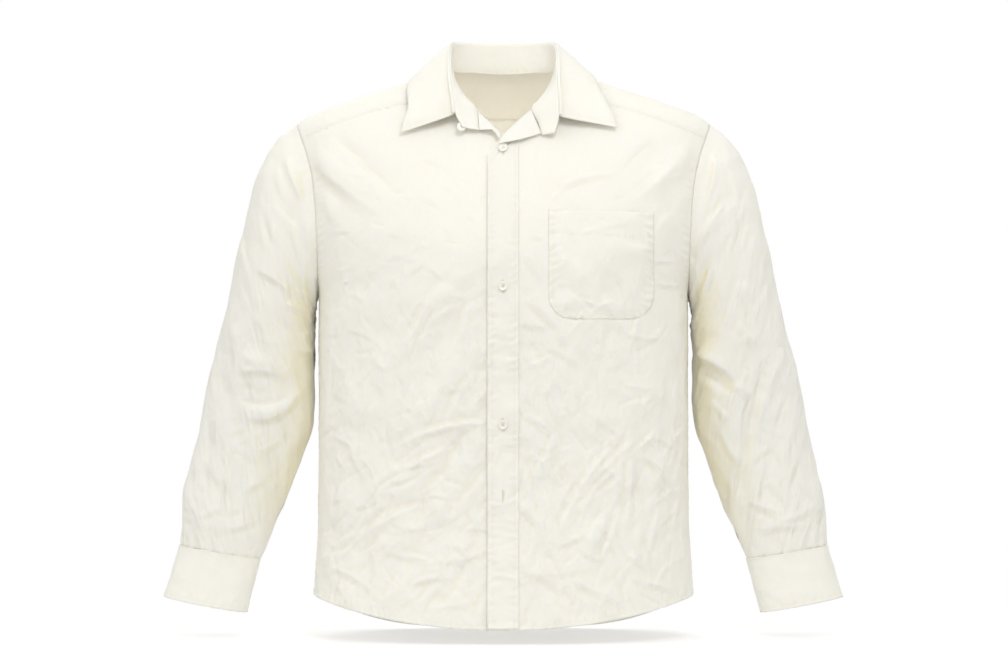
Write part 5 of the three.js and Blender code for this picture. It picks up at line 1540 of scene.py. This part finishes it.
STITCHES = stitch_tree()
print("tree", STITCHES.name, "has", len(STITCHES.nodes), "nodes")

# %% [markdown]
# The edges of a buttonhole and the thread through a button are whole lengths of thread, so this tree
# only sweeps a small circle along each line.

# %% A tree for solid thread
def thread_tree():
    tree, given, made = new_tree("solid thread", [
        ("Thread radius", "NodeSocketFloat", 0.22 * MM),
        ("Thread", "NodeSocketMaterial", None),
    ])
    as_curve = add(tree, "GeometryNodeMeshToCurve", {"Mesh": given.outputs["Geometry"]})
    profile = add(tree, "GeometryNodeCurvePrimitiveCircle", {
        "Resolution": 5, "Radius": given.outputs["Thread radius"],
    })
    tube = add(tree, "GeometryNodeCurveToMesh", {
        "Curve": as_curve.outputs["Curve"], "Profile Curve": profile.outputs["Curve"], "Fill Caps": True,
    })
    painted(tree, tube.outputs["Mesh"], given.outputs["Thread"], made)
    return tree


SOLID_THREAD = thread_tree()
print("tree", SOLID_THREAD.name, "has", len(SOLID_THREAD.nodes), "nodes")

# %% [markdown]
# ## Finishes
# The cloth is a plain-woven cotton of pale cream. Its finish is built from the flat map of each
# piece, in metres: the crossing threads, the slubs where a thread is thicker, and the fine creases
# that are too small for the mesh. The hollows of the folds get painted shade, a little warmer, for
# the light that bounces between cream walls and takes up their colour.

# %% Node helpers
class Finish:
    """A node material that is built step by step."""

    def __init__(self, name, colour, roughness):
        self.material = bpy.data.materials.new(name)
        self.material.use_nodes = True
        self.tree = self.material.node_tree
        self.shader = self.tree.nodes["Principled BSDF"]
        self.set({"Base Color": (*colour, 1), "Roughness": roughness})

    def set(self, values):
        for label, value in values.items():
            self.shader.inputs[label].default_value = value

    def node(self, kind, **values):
        made = self.tree.nodes.new(kind)
        for key, value in values.items():
            if hasattr(made, key):
                setattr(made, key, value)
            else:
                made.inputs[key.replace("_", " ")].default_value = value
        return made

    def link(self, source, target):
        self.tree.links.new(source, target)

    def math(self, operation, a, b):
        made = self.node("ShaderNodeMath", operation=operation)
        for socket, value in zip(made.inputs, (a, b)):
            if isinstance(value, (int, float)):
                socket.default_value = value
            else:
                self.link(value, socket)
        return made.outputs[0]

    def stretched(self, source, across, up):
        made = self.node("ShaderNodeMapping")
        made.inputs["Scale"].default_value = (across, up, 1)
        self.link(source, made.inputs["Vector"])
        return made.outputs["Vector"]

    def noise(self, vector, scale, detail=2.0, **values):
        made = self.node("ShaderNodeTexNoise", Scale=scale, Detail=detail, **values)
        self.link(vector, made.inputs["Vector"])
        return made.outputs["Fac"]

    def crumple(self, vector, size, turn, stretch):
        """Distance to scattered low points: facets about one size across that meet in thin ridges."""
        wander = self.node("ShaderNodeTexNoise", Scale=0.6 / size, Detail=1.0)
        self.link(vector, wander.inputs["Vector"])
        moved = self.node("ShaderNodeVectorMath", operation="MULTIPLY_ADD")
        self.link(wander.outputs["Color"], moved.inputs[0])
        moved.inputs[1].default_value = (0.9 * size, 0.9 * size, 0)
        self.link(vector, moved.inputs[2])
        placed = self.node("ShaderNodeMapping")
        placed.inputs["Rotation"].default_value = (0, 0, turn)
        placed.inputs["Scale"].default_value = (1 / size, 1 / (size * stretch), 1)
        self.link(moved.outputs[0], placed.inputs["Vector"])
        cells = self.node("ShaderNodeTexVoronoi", voronoi_dimensions="2D", Scale=1.0)
        self.link(placed.outputs[0], cells.inputs["Vector"])
        return cells.outputs["Distance"]

    def bump(self, height, distance, strength, under=None):
        made = self.node("ShaderNodeBump", Distance=distance, Strength=strength)
        self.link(height, made.inputs["Height"])
        if under is not None:
            self.link(under, made.inputs["Normal"])
        return made.outputs["Normal"]

    def blend(self, share, low, high):
        made = self.node("ShaderNodeMix", data_type="RGBA")
        for socket, value in ((made.inputs[6], low), (made.inputs[7], high)):
            if isinstance(value, tuple):
                socket.default_value = (*value, 1)
            else:
                self.link(value, socket)
        self.link(share, made.inputs[0])
        return made.outputs[2]


def ramped(finish, source, low, high):
    made = finish.node("ShaderNodeMapRange")
    made.inputs["From Min"].default_value = low
    made.inputs["From Max"].default_value = high
    finish.link(source, made.inputs["Value"])
    return made.outputs["Result"]


print("finish helpers ready")

# %% [markdown]
# The weave is two sets of stripes, one each way, and a checker that chooses which of them is on top.
# The finest crumple is Voronoi cells in three sizes, as a bump, since a mesh that held them would be
# far too heavy. Thin cotton also lets light through, which subsurface scattering does. Where a piece
# lies on other cloth, that light is lost and the piece greys, so pocket and band get less of it.

# %% The cotton
THREAD_PITCH = 0.00034
# The deep creams are painted shade in the hollows of the folds, and also the tint of the random mottle
# and the slubs. The third colour is painted shade where a sleeve faces the body.
CREAM, DEEP_CREAM, BODY_FACING_SHADE_CREAM = (0.925, 0.91, 0.848), (0.875, 0.84, 0.72), (0.87, 0.81, 0.61)
STIFF_CREAM, DEEP_STIFF_CREAM = (0.93, 0.915, 0.855), (0.885, 0.85, 0.74)
CRUMPLE_SIZES = ((0.034, 0.13, 1.0), (0.016, 0.12, -0.6), (0.008, 0.07, 0.3))  # across, slope, turn


def woven(finish, flat):
    """The height of crossing threads, over and under in turn."""
    warp = finish.node("ShaderNodeTexWave", bands_direction="X", Scale=0.31416 / THREAD_PITCH)
    weft = finish.node("ShaderNodeTexWave", bands_direction="Y", Scale=0.31416 / THREAD_PITCH)
    over = finish.node("ShaderNodeTexChecker", Scale=1 / THREAD_PITCH)
    over.inputs["Color1"].default_value = (1, 1, 1, 1)
    over.inputs["Color2"].default_value = (0, 0, 0, 1)
    for texture in (warp, weft, over):
        finish.link(flat, texture.inputs["Vector"])
    threads = finish.node("ShaderNodeMix")
    finish.link(over.outputs["Fac"], threads.inputs[0])
    finish.link(warp.outputs["Fac"], threads.inputs[2])
    finish.link(weft.outputs["Fac"], threads.inputs[3])
    return threads.outputs[0]


def cotton(name, colour, deep, crumpled, through=0.3):
    finish = Finish(name, colour, 0.82)
    flat = finish.node("ShaderNodeUVMap", uv_map="cloth").outputs["UV"]
    slub_across = finish.noise(finish.stretched(flat, 60, 1400), 1.0, 3.0)
    slub_up = finish.noise(finish.stretched(flat, 1400, 60), 1.0, 3.0)
    slub = finish.math("ADD", slub_across, slub_up)
    share = finish.node("ShaderNodeAttribute", attribute_name="crumple").outputs["Fac"]
    normal = None
    for size, slope, turn in CRUMPLE_SIZES:
        patchy = ramped(finish, finish.noise(flat, 0.35 / size, 1.0), 0.25, 0.6)
        patchy = finish.math("MULTIPLY", share, patchy)
        cells = finish.math("MULTIPLY", finish.crumple(flat, size, turn, 1.35), patchy)
        normal = finish.bump(cells, slope * size * crumpled, 1.0, normal)
    normal = finish.bump(slub, 0.00012, 0.5, normal)
    normal = finish.bump(woven(finish, flat), 0.0001, 0.45, normal)
    finish.link(normal, finish.shader.inputs["Normal"])
    # Painted shade: the hollows of the folds are tinted towards the deep cream. The random mottle takes
    # the same tint.
    hollow = finish.node("ShaderNodeAttribute", attribute_name="hollow").outputs["Fac"]
    shade = finish.math("MULTIPLY", ramped(finish, hollow, 0.5, 0.1), 0.55)
    mottle = finish.math("MULTIPLY", ramped(finish, finish.noise(flat, 7.0, 3.0), 0.35, 0.75), 0.18)
    toned = finish.blend(finish.math("MAXIMUM", shade, mottle), colour, deep)
    # Painted shade: the faces of a sleeve that look at the body are tinted a warm, darker cream.
    body_facing_shade = finish.node("ShaderNodeAttribute", attribute_name="body_facing_shade").outputs["Fac"]
    toned = finish.blend(finish.math("MULTIPLY", body_facing_shade, 0.85), toned, BODY_FACING_SHADE_CREAM)
    speck = finish.math("MULTIPLY", ramped(finish, slub_up, 0.45, 0.8), 0.3)
    toned = finish.blend(speck, toned, deep)
    finish.link(toned, finish.shader.inputs["Base Color"])
    finish.set({
        "Sheen Weight": 0.12, "Sheen Roughness": 0.4, "Specular IOR Level": 0.25,
        "Subsurface Weight": through, "Subsurface Radius": (1.0, 0.9, 0.7), "Subsurface Scale": 0.0016,
    })
    return finish.material


SHIRTING = cotton("cream cotton", CREAM, DEEP_CREAM, 1.0)
STIFFENED = cotton("cream cotton, stiffened", STIFF_CREAM, DEEP_STIFF_CREAM, 0.6)
LAID = cotton("cream cotton, laid on cloth", CREAM, DEEP_CREAM, 1.0, 0.12)
BAND = cotton("cream cotton band", STIFF_CREAM, DEEP_STIFF_CREAM, 0.6, 0.2)
print("cottons", [finish.name for finish in (SHIRTING, STIFFENED, LAID, BAND)])

# %% [markdown]
# A shirt button is glossy and faintly cloudy, with fine scratches: a cloud on object coordinates
# blends two creams, and a thin coat gives the gloss. Sewing thread is twisted cotton, so it is a
# little deeper in colour than the cloth and has a fine grain.

# %% The buttons' finish and the thread's
BUTTON_CREAM, BUTTON_CLOUD = (0.89, 0.87, 0.78), (0.94, 0.925, 0.86)


def pearl():
    finish = Finish("cream button", BUTTON_CREAM, 0.28)
    place = finish.node("ShaderNodeTexCoord").outputs["Object"]
    cloud = finish.noise(place, 380.0, 3.0, Distortion=1.4)
    toned = finish.blend(ramped(finish, cloud, 0.35, 0.7), BUTTON_CREAM, BUTTON_CLOUD)
    finish.link(toned, finish.shader.inputs["Base Color"])
    scratches = finish.noise(place, 2600.0, 2.0)
    finish.link(finish.bump(scratches, 0.00003, 0.3), finish.shader.inputs["Normal"])
    finish.link(ramped(finish, cloud, 0.0, 3.2), finish.shader.inputs["Roughness"])
    finish.set({"Coat Weight": 0.25, "Coat Roughness": 0.12})
    return finish.material


def sewing_thread():
    finish = Finish("sewing thread", (0.88, 0.85, 0.74), 0.6)
    place = finish.node("ShaderNodeTexCoord").outputs["Object"]
    ply = finish.noise(place, 1500.0, 1.0)
    toned = finish.blend(ramped(finish, ply, 0.35, 0.65), (0.84, 0.8, 0.68), (0.91, 0.885, 0.79))
    finish.link(toned, finish.shader.inputs["Base Color"])
    finish.link(finish.bump(ply, 0.00005, 0.5), finish.shader.inputs["Normal"])
    finish.set({"Sheen Weight": 0.1})
    return finish.material


PEARL, THREAD = pearl(), sewing_thread()
FINISHES = {  # everything else is plain shirting, and _shell stands for each button
    "_shell": PEARL, "collar_stand_cloth": STIFFENED, "collar_leaf_cloth": STIFFENED,
    "cuff_left_cloth": STIFFENED, "cuff_right_cloth": STIFFENED, "pocket_cloth": LAID,
    "placket_cloth": BAND,
}
for name, piece in pieces.items():
    key = "_shell" if name.endswith("_shell") else name
    piece.data.materials.clear()
    piece.data.materials.append(FINISHES.get(key, SHIRTING))
print("finished", len(pieces), "pieces")

# %% [markdown]
# ## Sewing
# Every seam line is read off the piece that it lies on, at a distance from one of its edges, and
# lifted by the radius of the thread. Rows that belong together become one object.

# %% Lines beside the edges
def line_beside(points, edge, away, start=0.0, end=1.0, lift=0.1):
    """A line on a grid of points, some millimetres in from one edge."""
    points, normals = turned_to(points, grid_normals(points), edge)
    runs = run_lengths(points, 0)
    count = points.shape[1]
    line = np.empty((count, 3))
    for j in range(count):
        row = min(int(np.searchsorted(runs[:, j], away)), len(runs) - 1)
        t = (away - runs[row - 1, j]) / max(runs[row, j] - runs[row - 1, j], 1e-6)
        spot = lerp(points[row - 1, j], points[row, j], min(max(t, 0), 1))
        line[j] = spot + normals[row, j] * lift
    return line[int(start * (count - 1)):int(end * (count - 1)) + 1]


print("a line keeps its distance from the edge, whatever the grid's spacing")

# %% [markdown]
# A modifier's input is known to Blender by its socket's identifier and not by its name, so that is
# looked up. The result is copied as a plain mesh before the modifier goes, and it carries its
# place in its own points.

# %% Threads from lines
def thread_object(name, lines, tree, values):
    verts, edges = [], []
    for line in lines:
        start = len(verts)
        verts += [tuple(point * MM) for point in np.asarray(line)]
        edges += [(start + i, start + i + 1) for i in range(len(line) - 1)]
    mesh = bpy.data.meshes.new(name)
    mesh.from_pydata(verts, edges, [])
    piece = bpy.data.objects.new(name, mesh)
    bpy.context.scene.collection.objects.link(piece)
    work = piece.modifiers.new("thread", "NODES")
    work.node_group = tree
    for item in tree.interface.items_tree:
        if item.item_type == "SOCKET" and item.in_out == "INPUT" and item.name in values:
            work[item.identifier] = values[item.name]
    made = evaluated_copy(piece, name)
    piece.modifiers.clear()
    piece.data = made
    made.shade_smooth()
    pieces[name] = piece
    print(name, "faces", len(made.polygons))
    return piece


def stitches(name, lines):
    return thread_object(name, lines, STITCHES, {"Thread": THREAD})


print("lines become", STITCHES.name, "or", SOLID_THREAD.name)

# %% [markdown]
# Felled seams show two rows and turned edges one. The rows keep a real shirtmaker's distances: just
# over a millimetre from an edge, and five or six for the second row or a hem.

# %% The rows of stitches
HEM_ROW = 5.3


def pair(points, edge, start=0.0, end=1.0, first=1.4, second=6.2):
    return [line_beside(points, edge, away, start, end) for away in (first, second)]


body_rows = [line_beside(panel, "low", HEM_ROW) for panel in (left_front, right_front, back)]
for panel, edge in ((left_front, "far"), (right_front, "near")):
    body_rows += pair(panel, edge, 0.02)
body_rows += [line_beside(right_front, "far", 29.0)]
stitches("body_stitches", body_rows)
yoke_rows = pair(yoke, "low", first=1.3, second=5.5)
seam_share = 9 * 8 / (yoke.shape[1] - 1)
for start, end in ((0.0, seam_share), (1 - seam_share, 1.0)):
    yoke_rows += pair(yoke, "high", start, end, 1.3, 5.2)
stitches("yoke_stitches", yoke_rows)
stitches("placket_stitches", [line_beside(placket, "near", 5.6), line_beside(placket, "far", 5.6)])
stitches("pocket_stitches", [
    line_beside(pocket, edge, away) for edge in ("near", "far", "low") for away in (1.3, 6.0)
] + [line_beside(pocket, "high", 29.0)])
for arm, sign in ARMS:
    rows = [line_beside(sleeves[arm], "high", 1.6)]
    cuff_rows = (("low", 1.6), ("high", 5.4), ("near", 5.0), ("far", 5.0))
    rows += [line_beside(cuffs[arm], edge, away) for edge, away in cuff_rows]
    rows += [line_beside(strips[arm], edge, 1.6) for edge in ("near", "far")]
    stitches(f"sleeve_stitches_{arm}", rows)
stitches("collar_stitches", [line_beside(leaf, edge, HEM_ROW) for edge in ("high", "near", "far")]
         + [line_beside(stand, "high", away, lift=-DOUBLE_THICK - 0.1) for away in (1.6, 4.0)])

# %% [markdown]
# A buttonhole is a slit whose edges are worked with close, short stitches, with a bar at each end.
# Each stitch is a line of its own here, across the slit's edge, and the tree for solid thread does
# the rest. A button is held by two pairs of threads that rise from one hole and go down the next.

# %% Buttonholes and the buttons' thread
LAST_HOLE = -475.0  # one more buttonhole, below the last button and with no button in it


def hole_lines(z, x=-0.4, half=7.5):
    """The worked edges of one upright buttonhole: short threads on both sides and a bar at each end."""
    lines = []
    for step in np.arange(-half, half + 0.01, 0.42):
        for side in (-1, 1):
            run = np.array([x + side * 0.15, x + side * 1.35])
            lines.append(on_front(run, np.array([z + step, z + step]), 1.55))
    for end in (-half - 0.4, half + 0.4):
        for step in (-0.35, 0, 0.35):
            lines.append(on_front(np.array([x - 1.4, x + 1.4]), np.array([z + end + step] * 2), 1.6))
    return lines


hole_rows = [line for z in (*BUTTON_HEIGHTS, LAST_HOLE) for line in hole_lines(z)]
thread_object("buttonholes", hole_rows, SOLID_THREAD, {"Thread": THREAD})

THREAD_PATH = [(-0.9, 0.4), (-0.75, 1.75), (0, 1.95), (0.75, 1.75), (0.9, 0.4)]
button_lines = []
for point, normal, upright in button_spots.values():
    turn = frame_on(normal, upright)
    for side in (-1, 1):
        for shift in (-0.16, 0.16):
            across = side * HOLE_OUT * 0.7071 + shift
            path = [(across, up, high) for up, high in THREAD_PATH]
            button_lines.append(np.array(path) @ turn.T + point)
thread_object("button_thread", button_lines, SOLID_THREAD, {"Thread": THREAD, "Thread radius": 0.2 * MM})

# %% [markdown]
# ## Floor and light
# The floor is a pale disc just under the hem. It turns see-through towards its rim, so no horizon
# shows and the shirt seems to stand in an endless white room.

# %% The floor
lowest = min((piece.matrix_world @ v.co).z for piece in pieces.values() for v in piece.data.vertices)
FLOOR_HEIGHT = lowest - 0.001


def floor_finish():
    finish = Finish("pale floor", (0.93, 0.93, 0.93), 0.9)
    place = finish.node("ShaderNodeTexCoord").outputs["Object"]
    away = finish.node("ShaderNodeVectorMath", operation="LENGTH")
    finish.link(place, away.inputs[0])
    fade = finish.node("ShaderNodeMapRange", interpolation_type="SMOOTHSTEP")
    for label, value in (("From Min", 0.3), ("From Max", 1.1), ("To Min", 1.0), ("To Max", 0.0)):
        fade.inputs[label].default_value = value
    finish.link(away.outputs["Value"], fade.inputs["Value"])
    finish.link(fade.outputs["Result"], finish.shader.inputs["Alpha"])
    finish.set({"Emission Color": (1, 1, 1, 1), "Emission Strength": 0.22})
    return finish.material


FLOOR_RADIUS, FLOOR_SIDES = 2.4, 96
around = 2 * math.pi * np.arange(FLOOR_SIDES) / FLOOR_SIDES
rim = stack(FLOOR_RADIUS * np.cos(around), FLOOR_RADIUS * np.sin(around), FLOOR_HEIGHT).tolist()
floor = plain_object("floor", rim, [list(range(FLOOR_SIDES))])
floor.data.materials.append(floor_finish())
print("floor at", round(FLOOR_HEIGHT, 4))

# %% [markdown]
# Creases show only where light comes from one side, and cream cloth burns out where it is too strong.
# So a soft key light hangs above in front, a weak one fills in from the left, another lights the back
# of the shirt, and a small warm one inside the neck stands for light that bounces about in there.

# %% The lights
LIGHTS = [  # name, place, aim, size, power, colour, seen by the camera
    ("key", (0.4, -1.7, 1.35), (0, 0, -0.25), 0.8, 15, (1, 1, 1), True),
    ("fill", (-1.9, -1.6, 0.9), (0, 0, -0.3), 1.4, 7, (1, 1, 1), True),
    ("back", (-0.5, 1.9, 1.1), (0, 0, -0.35), 1.0, 9, (1, 1, 1), False),
    ("inside the neck", (0, -0.02, -0.22), (0, 0.05, 0), 0.08, 0.18, (1, 0.92, 0.78), False),
]
for name, place, target, size, power, colour, visible in LIGHTS:
    data = bpy.data.lights.new(name, "AREA")
    data.shape = "SQUARE"
    data.size, data.energy, data.color = size, power, colour
    light = bpy.data.objects.new(name, data)
    light.location = place
    x, y, z = np.array(target) - np.array(place)
    light.rotation_euler = (math.atan2(math.hypot(x, y), -z), 0, math.atan2(-x, y))
    light.visible_camera = visible
    bpy.context.scene.collection.objects.link(light)
print("lights", [row[0] for row in LIGHTS])

# %% [markdown]
# The room itself is white, and brighter above than below. A white that lights the cloth evenly would
# flatten it, so the room that the camera sees is pure white, while the one that lights the cloth is
# weaker and a little warm. A light path node tells the two apart.

# %% The white room
world = bpy.data.worlds.new("white room")
bpy.context.scene.world = world
world.use_nodes = True
room = world.node_tree
seen = room.nodes["Background"]
seen.inputs["Color"].default_value = (1, 1, 1, 1)
seen.inputs["Strength"].default_value = 1.0
way = add(room, "ShaderNodeSeparateXYZ", {0: add(room, "ShaderNodeTexCoord").outputs["Generated"]})
ceiling = add(room, "ShaderNodeMapRange", {
    "Value": way.outputs["Z"], "From Min": -1.0, "From Max": 1.0, "To Min": 0.63, "To Max": 0.85,
})
lit = add(room, "ShaderNodeBackground", {
    "Color": (1, 0.99, 0.955, 1), "Strength": ceiling.outputs["Result"],
})
from_camera = add(room, "ShaderNodeLightPath").outputs["Is Camera Ray"]
both = add(room, "ShaderNodeMixShader", {0: from_camera, 1: lit.outputs[0], 2: seen.outputs[0]})
room.links.new(both.outputs[0], room.nodes["World Output"].inputs["Surface"])
bpy.context.scene.view_settings.view_transform = "Standard"
print("the room has", len(room.nodes), "nodes")

# %% [markdown]
# ## Handing the pieces to the frame
# Each piece rides on the shirt's one body, since cloth has no joint, and stands for its solid.

# %% Riding and replacing
CUTS = {  # node: width, length and flat area of its cut, in metres
    "front_left": (0.31, 0.65, 0.175), "front_right": (0.31, 0.65, 0.173),
    "back": (0.56, 0.64, 0.315), "yoke": (0.53, 0.19, 0.064),
    "sleeve_left": (0.38, 0.55, 0.156), "sleeve_right": (0.38, 0.55, 0.156),
    "cuff_left": (0.3, 0.067, 0.0198), "cuff_right": (0.3, 0.067, 0.0198),
    "collar_stand": (0.4, 0.05, 0.016), "collar_leaf": (0.46, 0.085, 0.03),
    "placket": (0.0366, 0.58, 0.0212), "pocket": (0.126, 0.13, 0.0158),
    "sleeve_placket_left": (0.027, 0.125, 0.0032), "sleeve_placket_right": (0.027, 0.125, 0.0032),
    "front_turn_left": (0.056, 0.03, 0.001), "front_turn_right": (0.036, 0.025, 0.00055),
}
graph = bpy.context.evaluated_depsgraph_get()
graph.update()
for name, piece in pieces.items():
    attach(piece, "root")
    node = name.removesuffix("_cloth").removesuffix("_shell")
    if node in CUTS:
        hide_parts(node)
        shown = piece.evaluated_get(graph).to_mesh()
        piece.evaluated_get(graph).to_mesh_clear()
    elif name.endswith("_shell"):
        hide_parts(node)
